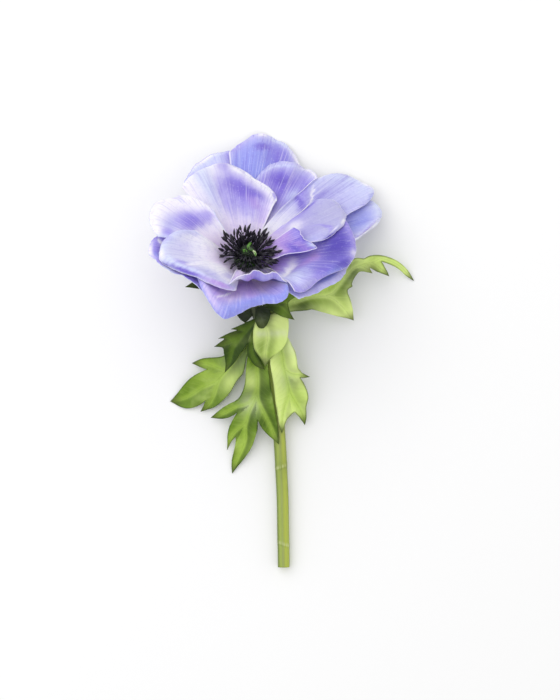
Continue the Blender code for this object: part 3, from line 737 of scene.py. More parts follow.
# Painted shade of the flower head, dark among the leaves' feet.
PAINTED_SHADE_AT_FEET = Patch("night", RUFF.x, RUFF.y + 4 * MM, 8 * MM, 5.5 * MM, 0.9)

# A tip stands at least this far from the foot.
TIP_REACH = 6 * MM

# Width of the groove along a rib, how far a side vein slants, and heights of veins and buckles.
GROOVE_WIDTH = 2.2 * MM
VEIN_SLANT = 0.8
VEIN_HEIGHT = 0.07 * MM
BUCKLE_HEIGHT = 0.3 * MM


@dataclass
class LeafLook:
    """How one leaf is coloured, and spots of (colour, x, y, radius) in millimetres.

    The fold paints shade on one side of each rib, where less light falls: the left where it is
    positive, seen along the rib.
    """

    node: str
    body: str
    edge: str
    rib: str
    fold: float
    spots: tuple = ()


LEAF_LOOKS = (
    # This leaf lies in the flower's shadow and is painted nearly black: painted shade.
    LeafLook("leaf_left_upper", "night", "night", "dark", 0.0),
    LeafLook("leaf_left", "mid", "mid", "bright", 0.3, (
        ("grey", -20, -4, 6), ("pale", -22, -13, 5), ("bright", -31, -10, 6))),
    LeafLook("leaf_right", "bright", "pale", "pale", -0.3, (
        ("grey", 28, 31, 5), ("dark", 27.5, 31, 4.2), ("bright", 44, 36, 12), ("mid", 24, 22, 5),
        ("pale", 22, 15, 7), ("dark", 8, 17, 5), ("mid", 14, 14, 4))),
    LeafLook("leaf_lower_left", "mid", "mid", "bright", 0.8, (
        ("pale", -13, -13, 4), ("white", -13.7, -22.5, 4), ("dark", -6.5, -17, 4),
        ("bright", -18, -40, 5), ("dark", -9, -30, 3.5))),
    LeafLook("leaf_left_small", "dark", "dark", "mid", 0.9, (
        ("mid", -20, 4, 3),)),
    LeafLook("leaf_lower_right", "pale", "pale", "bright", 0.35, (
        ("white", 4, 2, 5), ("grey", 1, -12.7, 5), ("bright", 5, -20, 6), ("mid", 8, -30, 4),
        ("mid", -1, -4, 3))),
    LeafLook("leaf_sliver", "dark", "dark", "mid", 0.9),
    LeafLook("leaf_centre", "pale", "pale", "pale", 0.4, (
        ("bright", -4, 1, 7), ("white", -10, 6.1, 1.5), ("white", -7.5, 6.2, 1.5),
        ("white", -5, 6.2, 1.5), ("white", -2.5, 6.3, 1.5), ("white", 0, 6.4, 1.5),
        ("mid", -8.5, 1, 3.5), ("bright", -7, -2.5, 2.2), ("dark", -8.5, -5, 1.6),
        ("dark", -6, -6.5, 1.4))),
    LeafLook("leaf_front_lobe", "dark", "dark", "grey", 0.3, (("grey", -9, 12, 2),)),
    # Its dark spot near the flower is painted shadow of the petals.
    LeafLook("leaf_front_small", "mid", "mid", "mid", 0.9, (
        ("bright", 1, 17, 2), ("dark", -3, 19, 4))),
)


class LeafSettings(bpy.types.PropertyGroup):
    """Sizes and colours of the leaves."""

    thickness: metres("Thickness", "Thickness of a leaf", 0.34 * MM)
    levels: IntProperty(
        name="Levels", description="How often a leaf's sheet is subdivided", default=3,
        min=1, max=4)
    rib_depth: metres("Rib depth", "How deep the ribs lie in the leaf", 0.8 * MM)
    vein_spacing: metres("Vein spacing", "Distance between side veins", 2.6 * MM)
    pale: colour("Pale", "Pale yellow green", (0.77, 0.92, 0.31))
    bright: colour("Bright", "Bright yellow green", (0.42, 0.6, 0.085))
    mid: colour("Mid", "Leaf green", (0.15, 0.26, 0.018))
    dark: colour("Dark", "Dark leaf green", (0.03, 0.065, 0.004))
    # Painted shade: nearly black green where leaves lie in the flower's shadow.
    night: colour("Night", "Nearly black green of the most shaded leaf tip", (0.012, 0.018, 0.006))
    brown: colour("Brown", "Brownish green of the tips", (0.055, 0.07, 0.012))
    white: colour("White", "Dusty white green of creases", (0.72, 0.80, 0.48))
    grey: colour("Grey", "Greyish green of worn or downy places", (0.34, 0.42, 0.2))


def leaf_paint(look, settings):
    """Green with paler ribs, side veins and darker tips."""
    paint = Paint(look.node + "_green", settings, subsurface=0.12, specular=0.2)
    x, y, _ = paint.split(paint.place())
    rib, edge, chevron, tip, side = (paint.attribute(name) for name in LEAF_FIELDS)
    broad = paint.noise(90.0, 3)
    fine = paint.noise(900.0, 3)
    paint.blend(look.body, look.edge, edge.rise(3.5 * MM, 0.3 * MM))
    for name, middle_x, middle_y, radius in look.spots:
        spot = Patch(name, middle_x * MM, middle_y * MM, radius * MM, radius * MM)
        paint.over(name, (gap_from(spot, x, y) + 0.5 - broad).fade() * 0.65)
    paint.over("dark", broad.rise(0.5, 0.8) * 0.35)
    paint.over("pale", broad.rise(0.5, 0.25) * 0.3)
    # The shaded side of each rib, the side veins and the ribs.
    fold = side.rise(0.0, math.copysign(1.4 * MM, look.fold))
    paint.over("dark", fold * rib.rise(4.5 * MM, 1.5 * MM) * (abs(look.fold) * 0.7))
    wave = chevron.math("PINGPONG", settings.vein_spacing / 2) / (settings.vein_spacing / 2)
    vein = wave.rise(0.8, 1.0) * edge.rise(0.0, 1.2 * MM)
    # Veins and ribs are paler than the blade, and palest away from the fold's painted shade: their own
    # colour, with painted highlight on the lit side.
    paint.over(look.rib, vein * (1 - fold * 0.7) * 0.2)
    paint.over(look.rib, rib.rise(2.0 * MM, 0.0) * (1 - fold) * 0.5)
    paint.over("dark", rib.rise(0.3 * MM, 0.05 * MM) * 0.2)
    # Tips, margin, and the painted shade of the flower head among the feet.
    paint.over("brown", tip.rise(6 * MM, 0.5 * MM) * 0.75)
    paint.over("dark", edge.rise(0.7 * MM, 0.0) * broad.rise(0.35, 0.6) * 0.7)
    gap = gap_from(PAINTED_SHADE_AT_FEET, x, y)
    paint.over(PAINTED_SHADE_AT_FEET.colour, (gap * gap).fade() * PAINTED_SHADE_AT_FEET.strength)
    paint.bump(fine * 0.35 - vein * 0.5, 0.3 * MM, 0.35)
    return paint.done((fine - 0.5) * 0.2 + 0.45)


def ribs_of(bm, tips):
    """Paths from the foot to each tip that keep to the middle of the lobes, and each
    vertex's distance from the rim."""
    rim = rim_of(bm)
    tree = tree_of(rim)
    depth = {vert: tree.find(vert.co)[2] for vert in bm.verts}
    foot = min(bm.verts, key=lambda vert: (vert.co - RUFF).length)
    cost = {foot: 0.0}
    back = {foot: None}
    queue = [(0.0, foot.index, foot)]
    done = set()
    while queue:
        total, _, vert = heapq.heappop(queue)
        if vert in done:
            continue
        done.add(vert)
        for link in vert.link_edges:
            other = link.other_vert(vert)
            step = total + link.calc_length() / (depth[other] + 0.4 * MM) ** 1.5
            if step < cost.get(other, math.inf):
                cost[other] = step
                back[other] = vert
                heapq.heappush(queue, (step, other.index, other))
    paths = []
    for tip in tips:
        vert = min(rim, key=lambda near: (near.co - tip).length)
        path = [vert.co.copy()]
        while back[vert] is not None:
            vert = back[vert]
            path.append(vert.co.copy())
        paths.append(smooth_path(path[::-1]))
    return paths, depth


def smooth_path(path, passes=80):
    """Ease the zigzag out of a path, with its ends kept."""
    for _ in range(passes):
        path = [path[0], *((a + b * 2 + c) / 4 for a, b, c in zip(path, path[1:], path[2:])),
                path[-1]]
    return path


def sharp_tips(bm):
    """Outer corners of a sheet's rim, or its far end where it is round."""
    rim = rim_of(bm)
    sharp = [vert for vert in rim
             if sum(loop.calc_angle() for loop in vert.link_loops) < TIP_ANGLE
             and (vert.co - RUFF).length > TIP_REACH]
    return sharp or [max(rim, key=lambda vert: (vert.co - RUFF).length)]


def rib_fields(points, paths):
    """Each point's distance to the nearest rib, its side of it, and how far along it lies."""
    distance = np.full(len(points), np.inf)
    side = np.zeros(len(points))
    run = np.zeros(len(points))
    for path in paths:
        walked = 0.0
        for a, b in zip(path, path[1:]):
            way = np.array(b - a)
            length = float(np.linalg.norm(way)) + 1e-12
            offset = points - np.array(a)
            share = np.clip(offset @ way / length ** 2, 0, 1)
            gap = np.linalg.norm(offset - share[:, None] * way, axis=1)
            left = (way[0] * offset[:, 1] - way[1] * offset[:, 0]) / length
            nearer = gap < distance
            distance[nearer] = gap[nearer]
            side[nearer] = left[nearer]
            run[nearer] = (walked + share * length)[nearer]
            walked += length
    return distance, side, run


def store(mesh, name, values):
    """Keep one number for each point of a mesh."""
    layer = mesh.attributes.new(name, "FLOAT", "POINT")
    layer.data.foreach_set("value", np.asarray(values, dtype=np.float32))


def leaf_blade(look, number, settings):
    """Grow one leaf from its solid's upper side."""
    bm = upper_side(look.node, LEAF_SOLID, Vector((0, 0, 1)))
    crease = bm.verts.layers.float.new("crease_vert")
    tips = sharp_tips(bm)
    for vert in tips:
        vert[crease] = 1.0
    tip_points = [vert.co.copy() for vert in tips]
    leaf = object_of(bm, look.node)
    modify(leaf, "SUBSURF", levels=settings.levels, render_levels=settings.levels,
           boundary_smooth="PRESERVE_CORNERS")
    bm = bmesh.new()
    bm.from_mesh(leaf.data)
    paths, depth = ribs_of(bm, tip_points)
    edge = np.array([depth[vert] for vert in bm.verts])
    bm.free()
    points = read_points(leaf.data)
    rib, side, run = rib_fields(points, paths)
    chevron = run - rib * VEIN_SLANT
    tip = np.min([np.linalg.norm(points - np.array(end), axis=1) for end in tip_points], axis=0)
    groove = settings.rib_depth * np.exp(-rib / GROOVE_WIDTH) * np.clip(tip / (4 * MM), 0, 1)
    wave = np.cos(chevron / settings.vein_spacing * 2 * np.pi) * VEIN_HEIGHT
    wave *= np.clip(edge / (1.5 * MM), 0, 1) * np.clip(rib / (1.0 * MM), 0, 1)
    buckle = np.array([ripple(x * 130, y * 130, number * 4.3) for x, y, _ in points]) * BUCKLE_HEIGHT
    height = buckle * np.clip(edge / (2 * MM), 0, 1) - wave - groove
    set_points(leaf.data, points + read_points(leaf.data, "normal") * height[:, None])
    for name, values in zip(LEAF_FIELDS, (rib, edge, chevron, tip, side)):
        store(leaf.data, name, values)
    modify(leaf, "SOLIDIFY", thickness=settings.thickness, offset=-1.0)
    finish_piece(leaf, look.node + "_blade", look.node, leaf_paint(look, settings))


class ANEMONE_OT_leaves(bpy.types.Operator):
    """Grow every leaf's blade from its solid"""

    bl_idname = "anemone.leaves"
    bl_label = "Leaves"

    def execute(self, context):
        for number, look in enumerate(LEAF_LOOKS):
            leaf_blade(look, number, context.scene.anemone_leaves)
        return {"FINISHED"}


# ----------------------------------------------------------------------- stem

# Joints on the stem: height in millimetres along y, and slope across the stem.
JOINTS = ((-48.1, 0.35), (-79.8, -0.35))

# The stem's skin runs this far past the solid's cut end.
STEM_SPARE = 1.3 * MM

# Points on the stem's middle line.
STEM_STEPS = 48

# Rings of the cut face: share of the stem's radius, and how deep it lies in millimetres.
CUT_FACE = ((0.0, 0.22), (0.45, 0.2), (0.75, 0.1), (0.93, 0.0), (0.99, 0.0))


class StemSettings(bpy.types.PropertyGroup):
    """Sizes and colours of the stem."""

    ridges: IntProperty(
        name="Ridges", description="Ridges round the stem", default=11, min=3, max=30)
    ridge_height: FloatProperty(
        name="Ridge height", description="Height of a ridge, as a share of the radius",
        default=0.035, min=0, max=0.3)
    lengths: IntProperty(
        name="Lengths", description="How many rows of faces run down the stem", default=240,
        min=40)
    light: colour("Light", "Colour of the ridges", (0.34, 0.43, 0.07))
    dark: colour("Dark", "Colour of the furrows", (0.13, 0.18, 0.025))
    yellow: colour("Yellow", "Yellowest side of the stem", (0.46, 0.52, 0.05))
    olive: colour("Olive", "Greyish stripe down the stem's middle", (0.24, 0.26, 0.1))
    # Painted shade: nearly black green where the stem lies under the flower.
    night: colour("Night", "Nearly black green under the flower", (0.01, 0.014, 0.005))
    pith: colour("Pith", "Colour of the cut end's middle", (0.6, 0.64, 0.34))


def stem_rings():
    """Centre and radius of each ring of the stem's solid, from the cut end up."""
    bm = merged("stem")
    low = min(vert.co.y for vert in bm.verts)
    cut = {vert for face in bm.faces if face.normal.y < -0.9 and face.calc_center_median().y < low + MM
           for vert in face.verts}
    steps = steps_from(cut)
    rings = []
    for step in range(max(steps.values()) + 1):
        ring = [vert.co for vert in steps if steps[vert] == step]
        centre = sum(ring, Vector()) / len(ring)
        rings.append((centre, sum((point - centre).length for point in ring) / len(ring)))
    bm.free()
    return rings


def even_line(rings):
    """The stem's middle line and radii at even steps, without the solid's own joints."""
    centres = [centre for centre, _ in rings]
    centres[0] += (centres[0] - centres[1]).normalized() * STEM_SPARE
    lengths = [0.0]
    for a, b in zip(centres, centres[1:]):
        lengths.append(lengths[-1] + (b - a).length)
    steps = np.linspace(0, lengths[-1], STEM_STEPS)
    places = [np.interp(steps, lengths, [centre[axis] for centre in centres])
              for axis in range(3)]
    line = smooth_path([Vector(place) for place in zip(*places)], 3)
    raw = np.interp(steps, lengths, [radius for _, radius in rings])
    radii = [raw[0], *(sorted(three)[1] for three in zip(raw, raw[1:], raw[2:])), raw[-1]]
    return line, radii


def stem_paint(settings):
    """Yellow green with darker lines along it, pale joints and a paler cut end."""
    paint = Paint("stem_green", settings, subsurface=0.1)
    around, along_stem = paint.map("stem")
    ring_x = (around * 2 * math.pi).math("COSINE")
    ring_y = (around * 2 * math.pi).math("SINE")
    bands = paint.noise(1.0, 1, paint.vector(ring_x * 1.6, ring_y * 1.6, along_stem * 2))
    lines = paint.noise(1.0, 3, paint.vector(ring_x * 9, ring_y * 9, along_stem * 10))
    broad = paint.noise(70.0, 3)
    fine = paint.noise(1400.0, 2)
    # Across the stem its own green darkens at both edges and turns paler and yellower on the right:
    # painted shade and painted light on the round stem.
    across = paint.attribute("across") + (bands - 0.5) * 0.5
    paint.blend("dark", "light", across.rise(-1.0, -0.35) * 0.8 + lines.rise(0.35, 0.65) * 0.2)
    paint.over("yellow", across.rise(0.0, 0.4) * 0.65)
    stripe = (across * across * 14).fade()
    paint.over("olive", stripe * lines.rise(0.3, 0.6) * 0.6)
    paint.over("dark", broad.rise(0.5, 0.8) * 0.3)
    paint.over("dark", across.rise(0.8, 1.05) * 0.5)
    # Each joint is a pale scar with a dark seam under it.
    gap = paint.attribute("joint") + (broad - 0.5) * MM
    scar = gap.rise(1.6 * MM, 0.5 * MM) * gap.rise(-0.4 * MM, 0.2 * MM)
    paint.over("pith", scar * lines.rise(0.4, 0.6) * 0.55)
    seam = gap.rise(0.1 * MM, -0.3 * MM) * gap.rise(-1.3 * MM, -0.4 * MM)
    paint.over("dark", seam * lines.rise(0.6, 0.4) * 0.45)
    # Shade under the flower, and the cut end.
    paint.over("dark", along_stem.rise(0.68, 0.78) * 0.9)
    paint.over("night", along_stem.rise(0.74, 0.8) * 0.8)
    paint.over("pith", along_stem.rise(0.018, 0.01))
    paint.bump(lines + fine * 0.3, 0.25 * MM, 0.6)
    return paint.done((fine - 0.5) * 0.2 + 0.42)


def from_joint(right, y):
    """How far above the nearest joint a place is that lies so far right of the middle."""
    gaps = [y - height * MM - slope * right for height, slope in JOINTS]
    return min(gaps, key=abs)


def stem_point(line, radii, around, share, radius_share, settings):
    """A point of the stem's skin, which has lengthwise ridges and a lip above each joint."""
    centre, way = curve_at(line, share)
    side = Vector((1, 0, 0)).cross(way).normalized()
    out = Matrix.Rotation(around, 3, way) @ side
    spot = share * (len(radii) - 1)
    radius = float(np.interp(spot, range(len(radii)), radii))
    wander = 0.6 * ripple(share * 5, 0.0, 3.7)
    ridge = math.cos(settings.ridges * around + wander)
    uneven = ripple(math.cos(around) * 2, math.sin(around) * 2 + share * 14, 8.1)
    gap = from_joint(out.x * radius, centre.y + out.y * radius) / MM
    lip = 0.045 * math.exp(-(gap - 0.6) ** 2 / 0.8)
    radius *= 1 + settings.ridge_height * (0.7 * ridge + 0.5 * uneven) + lip
    return centre + out * radius * radius_share


class ANEMONE_OT_stem(bpy.types.Operator):
    """Sweep a ridged stem along its solid's centre line, with a cut end"""

    bl_idname = "anemone.stem"
    bl_label = "Stem"

    def execute(self, context):
        settings = context.scene.anemone_stem
        line, radii = even_line(stem_rings())
        sides = settings.ridges * 8
        rows = settings.lengths

        def place(column, row):
            around = 2 * math.pi * column / sides
            if row < len(CUT_FACE):
                radius_share, sunk = CUT_FACE[row]
                point = stem_point(line, radii, around, 0.0, radius_share, settings)
                return point + curve_at(line, 0.0)[1] * sunk * MM
            if row == rows:
                return stem_point(line, radii, around, 1.0, 0.0, settings)
            share = (row - len(CUT_FACE)) / (rows - len(CUT_FACE) - 1)
            return stem_point(line, radii, around, share, 1.0, settings)

        stem = mapped_grid(sides, rows, place)
        stem.data.uv_layers[0].name = "stem"
        close_up(stem)
        x, y, _ = read_points(stem.data).T
        right = x - np.interp(y, [point.y for point in line], [point.x for point in line])
        store(stem.data, "joint", [from_joint(*place) for place in zip(right, y)])
        store(stem.data, "across", right / radii[0])
        finish_piece(stem, "stem_stalk", "stem", stem_paint(settings))
        return {"FINISHED"}


# --------------------------------------------------------- middle of the head

class HeartSettings(bpy.types.PropertyGroup):
    """Sizes and colours of the stamens, the pistil and the receptacle."""

    filament: metres("Filament", "Radius of a filament", 0.2 * MM)
    anther: metres("Anther", "Length of an anther", 2.8 * MM)
    knobs: IntProperty(
        name="Knobs", description="How many carpels stand on the pistil", default=110, min=10)
    dark: colour("Dark", "Colour of the anthers", (0.01, 0.008, 0.016))
    # The bloom is partly pollen specks and partly painted highlight on the anthers.
    bloom: colour("Bloom", "Paler violet grey on the anthers", (0.11, 0.09, 0.15))
    green: colour("Green", "Colour of the pistil", (0.035, 0.06, 0.028))
    fresh: colour("Fresh green", "Green bits of the pistil", (0.13, 0.33, 0.05))
    pale: colour("Pale green", "Pistil's palest bit", (0.62, 0.72, 0.42))


@dataclass
class Whorl:
    """One ring of stamens, in millimetres about the head's axis.

    The foot has a radius, and the knee and the tip have a radius and a height.
    """

    node: str
    count: int
    foot: float
    knee: tuple
    tip: tuple
    seed: int


WHORLS = (
    Whorl("stamens_outer", 54, 4.0, (7.2, 8.0), (10.6, 9.6), 1),
    Whorl("stamens_middle", 60, 3.4, (5.4, 8.4), (8.2, 10.2), 2),
    Whorl("stamens_inner", 56, 2.9, (3.8, 8.2), (5.3, 10.2), 3),
)

# Height of the receptacle's underside on the head's axis.
RECEPTACLE_FOOT = -5.2 * MM

GOLDEN_ANGLE = math.radians(137.5)

# Loose tufts that the stamens of a whorl lean into.
TUFTS = 7

# Height of the filaments' feet, and how much further the front ones reach, in millimetres.
STAMEN_FOOT = 5.25
FRONT_LEAN = 1.5


def head_frame():
    """The head's own axes: z runs along its axis, and y towards its back."""
    bm = merged("receptacle")
    low = min((vert.co - HEAD).dot(AXIS) for vert in bm.verts)
    bm.free()
    origin = HEAD + AXIS * (low - RECEPTACLE_FOOT)
    back = (Vector((0, 1, 0)) - AXIS * AXIS.y).normalized()
    turn = Matrix((back.cross(AXIS), back, AXIS)).transposed()
    return Matrix.Translation(origin) @ turn.to_4x4()


def filament(foot, knee, tip, radius):
    """A thin stalk through three places."""
    sides, rows = 6, 8

    def place(column, row):
        if row == rows + 2:
            return tip
        centre, way = curve_at([foot, knee, tip], row / (rows + 1))
        side = way.orthogonal().normalized()
        return centre + Matrix.Rotation(2 * math.pi * column / sides, 3, way) @ side * radius

    stalk = mapped_grid(sides, rows + 2, place)
    close_up(stalk)
    return stalk


def anther_pod(length):
    """A pointed pod with two halves, which stands on the origin."""
    pod = added(bpy.ops.mesh.primitive_uv_sphere_add, (0, 0, 0.5), segments=12, ring_count=8,
                radius=0.5)
    for vert in pod.data.vertices:
        x, y, z = vert.co
        taper = 0.36 * (1.25 - 0.85 * z)
        notch = 1 - 0.45 * math.exp(-(x / 0.12) ** 2)
        vert.co = Vector((x * taper * 1.25, y * taper * notch, z)) * length
    return pod


def placed(master, matrix):
    """A copy of a master shape with its own mesh, put in place."""
    copy = master.copy()
    copy.data = master.data.copy()
    bpy.context.scene.collection.objects.link(copy)
    copy.data.transform(matrix)
    return copy


def stamens(whorl, frame_of_head, settings):
    """One whorl: filaments that lean out in loose tufts, each with its pod."""
    pod = anther_pod(settings.anther)
    parts = []
    for index in range(whorl.count):
        turn = index * GOLDEN_ANGLE + whorl.seed
        # How this stamen strays from the rest, each between about -1 and 1.
        spread = ripple(index * 1.7, 0.3, whorl.seed * 3.1)
        sway = ripple(index * 1.7, 7.3, whorl.seed * 5.3)
        twist = ripple(index * 2.3, 4.1, whorl.seed * 2.7)
        tuft = TUFTS * turn + whorl.seed * 0.7
        spin = Matrix.Rotation(turn + 0.2 * twist + 0.08 * math.cos(tuft), 3, "Z")
        front = -math.cos(turn)
        foot = spin @ Vector((0, whorl.foot, STAMEN_FOOT)) * MM
        out = 1 + 0.15 * front + 0.55 * spread + 0.2 * math.sin(tuft)
        knee = spin @ Vector((0.8 * spread, whorl.knee[0] + 0.8 * sway, whorl.knee[1])) * MM
        width = whorl.knee[0] + (whorl.tip[0] - whorl.knee[0]) * out + FRONT_LEAN * front
        height = whorl.tip[1] + 1.6 * twist - 0.4 * front
        tip = spin @ Vector((2.4 * sway, width, height)) * MM
        stalk = filament(foot, knee, tip, settings.filament)
        lean = (tip - knee).normalized() + Vector((0.7 * spread, 0.7 * twist, 0.6 * sway))
        aim = lean.to_track_quat("Z", "Y").to_matrix().to_4x4()
        roll = Matrix.Rotation(index * 2.1, 4, "Z")
        size = Matrix.Scale(0.95 + 0.5 * sway, 4)
        back = Matrix.Translation((0, 0, -0.25 * settings.anther))
        parts += [stalk, placed(pod, Matrix.Translation(tip) @ aim @ roll @ size @ back)]
    bpy.data.objects.remove(pod)
    crown = join(parts)
    crown.data.transform(frame_of_head)
    crown.data.update()
    return crown


def stamen_paint(settings):
    """Near black with violet grey specks, which are partly pollen and partly painted highlight."""
    paint = Paint("stamen_black", settings)
    broad = paint.noise(500.0, 2)
    fine = paint.noise(3500.0, 2)
    paint.blend("dark", "bloom", broad.rise(0.55, 0.75) * 0.35 + fine.rise(0.6, 0.75) * 0.25)
    paint.bump(fine, 0.12 * MM, 0.8)
    return paint.done(fine * 0.3 + 0.35)


def pistil_paint(settings, name, low, high):
    """Dark green to fresh green, in soft blotches."""
    paint = Paint(name, settings, subsurface=0.1)
    broad = paint.noise(320.0, 2)
    fine = paint.noise(2500.0, 2)
    paint.blend(low, high, broad.rise(0.35, 0.6))
    paint.over("fresh", broad.rise(0.66, 0.7))
    paint.bump(fine, 0.15 * MM, 0.6)
    return paint.done(fine * 0.3 + 0.3)


# The green curl over the pistil, and the pale bit at its end: x, y, z and radius of each point
# of the middle line, in millimetres on the head's own axes.
CURL = ((1.1, 3.6, 9.0, 0.15), (0.7, 2.5, 9.6, 0.5), (0.1, 1.4, 10.0, 0.65),
        (-0.5, 0.4, 10.1, 0.55), (-0.4, -0.5, 10.1, 0.6), (0.5, -1.2, 9.9, 0.7),
        (1.5, -1.7, 9.6, 0.35))
DROP = ((1.0, -1.5, 9.8, 0.3), (1.7, -2.1, 9.6, 0.5), (2.1, -2.9, 9.2, 0.55),
        (2.2, -3.6, 8.7, 0.2))

PISTIL_RADIUS = 2.8 * MM
PISTIL_CENTRE = Vector((0, 0, 6.4)) * MM
CARPEL_RADIUS = 0.42 * MM


def pistil_dome(frame_of_head, settings):
    """A dome closely set with small carpels, with a green curl and its pale end across it."""
    dark = pistil_paint(settings, "pistil_dark", "dark", "green")
    fresh = pistil_paint(settings, "pistil_curl", "green", "fresh")
    dome = added(bpy.ops.mesh.primitive_uv_sphere_add, PISTIL_CENTRE, segments=24, ring_count=14,
                 radius=PISTIL_RADIUS)
    knob = added(bpy.ops.mesh.primitive_ico_sphere_add, subdivisions=2, radius=CARPEL_RADIUS)
    for vert in knob.data.vertices:
        vert.co.z *= 1.5 + 0.5 * (vert.co.z > 0.3 * MM)
    parts = [dome]
    for index in range(settings.knobs):
        height = 1 - 0.95 * (index + 0.5) / settings.knobs
        ring = math.sqrt(1 - height ** 2)
        turn = index * GOLDEN_ANGLE
        out = Vector((ring * math.cos(turn), ring * math.sin(turn), height))
        tilt = (out + Vector((0, 0, 0.5))).to_track_quat("Z", "Y").to_matrix().to_4x4()
        size = Matrix.Scale(1 + 0.35 * ripple(index * 1.3, 0, 4.4), 4)
        place = PISTIL_CENTRE + out * PISTIL_RADIUS
        parts.append(placed(knob, Matrix.Translation(place) @ tilt @ size))
    bpy.data.objects.remove(knob)
    for part in parts:
        part.data.materials.append(dark)
    curl = tube(CURL)
    curl.data.materials.append(fresh)
    drop = tube(DROP)
    drop.data.materials.append(pistil_paint(settings, "pistil_drop", "fresh", "pale"))
    dome = join([*parts, curl, drop])
    dome.data.transform(frame_of_head)
    dome.data.update()
    return dome


def tube(stations):
    """A closed round tube through stations of x, y, z and radius in millimetres."""
    sides, rows = 10, 30
    points = [Vector(station[:3]) * MM for station in stations]
    radii = [station[3] for station in stations]

    def place(column, row):
        share = min(max((row - 1) / (rows - 2), 0.0), 1.0)
        centre, way = curve_at(points, share)
        radius = float(np.interp(share * (len(radii) - 1), range(len(radii)), radii)) * MM
        radius *= 0 < row < rows
        across = way.orthogonal().normalized()
        turn = Matrix.Rotation(2 * math.pi * column / sides, 3, way)
        return centre + turn @ across * radius

    made = mapped_grid(sides, rows, place)
    close_up(made)
    return made


class ANEMONE_OT_stamens(bpy.types.Operator):
    """Stand the dark stamens in three whorls"""

    bl_idname = "anemone.stamens"
    bl_label = "Stamens"

    def execute(self, context):
        settings = context.scene.anemone_heart
        material = stamen_paint(settings)
        frame_of_head = head_frame()
        for whorl in WHORLS:
            crown = stamens(whorl, frame_of_head, settings)
            finish_piece(crown, whorl.node + "_pods", whorl.node, material)
        return {"FINISHED"}


class ANEMONE_OT_pistil(bpy.types.Operator):
    """Set the pistil's carpels and smooth the receptacle under them"""

    bl_idname = "anemone.pistil"
    bl_label = "Pistil and receptacle"

    def execute(self, context):
        settings = context.scene.anemone_heart
        finish_piece(pistil_dome(head_frame(), settings), "pistil_carpels", "pistil")
        knob = object_of(merged("receptacle"), "receptacle_knob")
        modify(knob, "SUBSURF", levels=3, render_levels=3)
        finish_piece(knob, "receptacle_knob", "receptacle", receptacle_paint(settings))
        return {"FINISHED"}


def receptacle_paint(settings):
    """Mottled greens."""
    paint = Paint("receptacle_green", settings, subsurface=0.1)
    broad = paint.noise(200.0, 3)
    fine = paint.noise(1500.0, 2)
    paint.blend("green", "fresh", broad.rise(0.35, 0.65) * 0.7)
    paint.bump(fine, 0.2 * MM, 0.5)
    return paint.done(fine * 0.2 + 0.4)


class AnemoneStage(bpy.types.PropertyGroup):
    """Light, floor and camera."""

    floor_colour: colour("Floor", "Colour of the floor", (0.9, 0.9, 0.9))
    key_power: FloatProperty(
        name="Key light", description="Power of the main light", default=5.0, unit="POWER")
    sky: FloatProperty(
        name="Sky", description="Strength of the light from all round", default=0.8, min=0)
    camera_height: FloatProperty(
        name="Camera height", description="How far above the floor the camera is",
        default=0.953, unit="LENGTH")
    lens: FloatProperty(
        name="Lens", description="Focal length in millimetres", default=120.0)


# Where the camera stands over the floor.
CAMERA_PLACE = (-1.662 * MM, -0.417 * MM)

# Side of the floor, and place and side of the main light.
FLOOR_SIZE = 6
KEY_PLACE = Vector((-0.35, 0.35, 0.8))
KEY_SIZE = 1.1


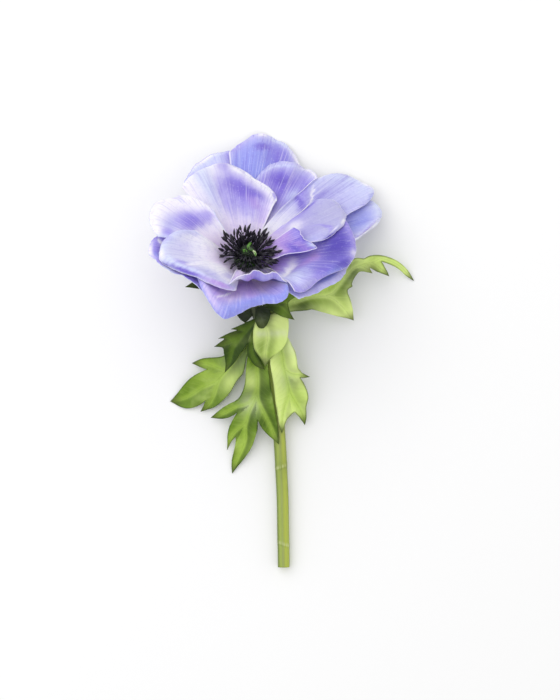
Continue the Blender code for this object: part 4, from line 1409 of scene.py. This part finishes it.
class ANEMONE_OT_stage(bpy.types.Operator):
    """Lay the floor, hang the lights and set the camera straight above"""

    bl_idname = "anemone.stage"
    bl_label = "Stage"

    def execute(self, context):
        scene = context.scene
        settings = scene.anemone_stage
        floor = added(bpy.ops.mesh.primitive_plane_add, size=FLOOR_SIZE)
        floor.name = "floor"
        paint = Paint("floor_paper", settings)
        paint.shade = paint.tint("floor_colour")
        floor.data.materials.append(paint.done(0.9))
        world = bpy.data.worlds.new("soft_sky")
        world.use_nodes = True
        sky = world.node_tree.nodes["Background"]
        sky.inputs["Color"].default_value = (1.0, 1.0, 1.0, 1.0)
        sky.inputs["Strength"].default_value = settings.sky
        scene.world = world
        bpy.ops.object.light_add(type="AREA", location=KEY_PLACE,
                                 rotation=KEY_PLACE.to_track_quat("Z", "Y").to_euler())
        key = context.object
        key.name = "key_light"
        key.data.energy = settings.key_power
        key.data.size = KEY_SIZE
        bpy.ops.object.camera_add(location=(*CAMERA_PLACE, settings.camera_height),
                                  rotation=(0, 0, 0))
        camera = context.object
        camera.data.lens = settings.lens
        camera.data.sensor_fit = "VERTICAL"
        camera.data.sensor_height = 36
        scene.camera = camera
        scene.view_settings.view_transform = "Standard"
        return {"FINISHED"}


class ANEMONE_PT_panel(bpy.types.Panel):
    """The flower's makers, in the order in which they run"""

    bl_idname = "ANEMONE_PT_panel"
    bl_label = "Cut anemone"
    bl_space_type = "VIEW_3D"
    bl_region_type = "UI"
    bl_category = "Anemone"

    def draw(self, context):
        for name in ORDER:
            self.layout.operator("anemone." + name)


ORDER = ("petals", "leaves", "stem", "stamens", "pistil", "stage")

GROUPS = {
    "anemone_petals": PetalSettings,
    "anemone_leaves": LeafSettings,
    "anemone_stem": StemSettings,
    "anemone_heart": HeartSettings,
    "anemone_stage": AnemoneStage,
}

CLASSES = (*GROUPS.values(), ANEMONE_OT_petals, ANEMONE_OT_leaves, ANEMONE_OT_stem,
           ANEMONE_OT_stamens, ANEMONE_OT_pistil, ANEMONE_OT_stage, ANEMONE_PT_panel)


def register():
    """Make the add-on's classes and its settings known."""
    for cls in CLASSES:
        bpy.utils.register_class(cls)
    for name, group in GROUPS.items():
        setattr(bpy.types.Scene, name, PointerProperty(type=group))


def unregister():
    """Take the settings and classes away again."""
    for name in GROUPS:
        delattr(bpy.types.Scene, name)
    for cls in reversed(CLASSES):
        bpy.utils.unregister_class(cls)


def main():
    """Build the whole flower and its stage."""
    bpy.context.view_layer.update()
    register()
    bpy.ops.anemone.petals()
    bpy.ops.anemone.leaves()
    bpy.ops.anemone.stem()
    bpy.ops.anemone.stamens()
    bpy.ops.anemone.pistil()
    bpy.ops.anemone.stage()


if __name__ == "__main__":
    main()
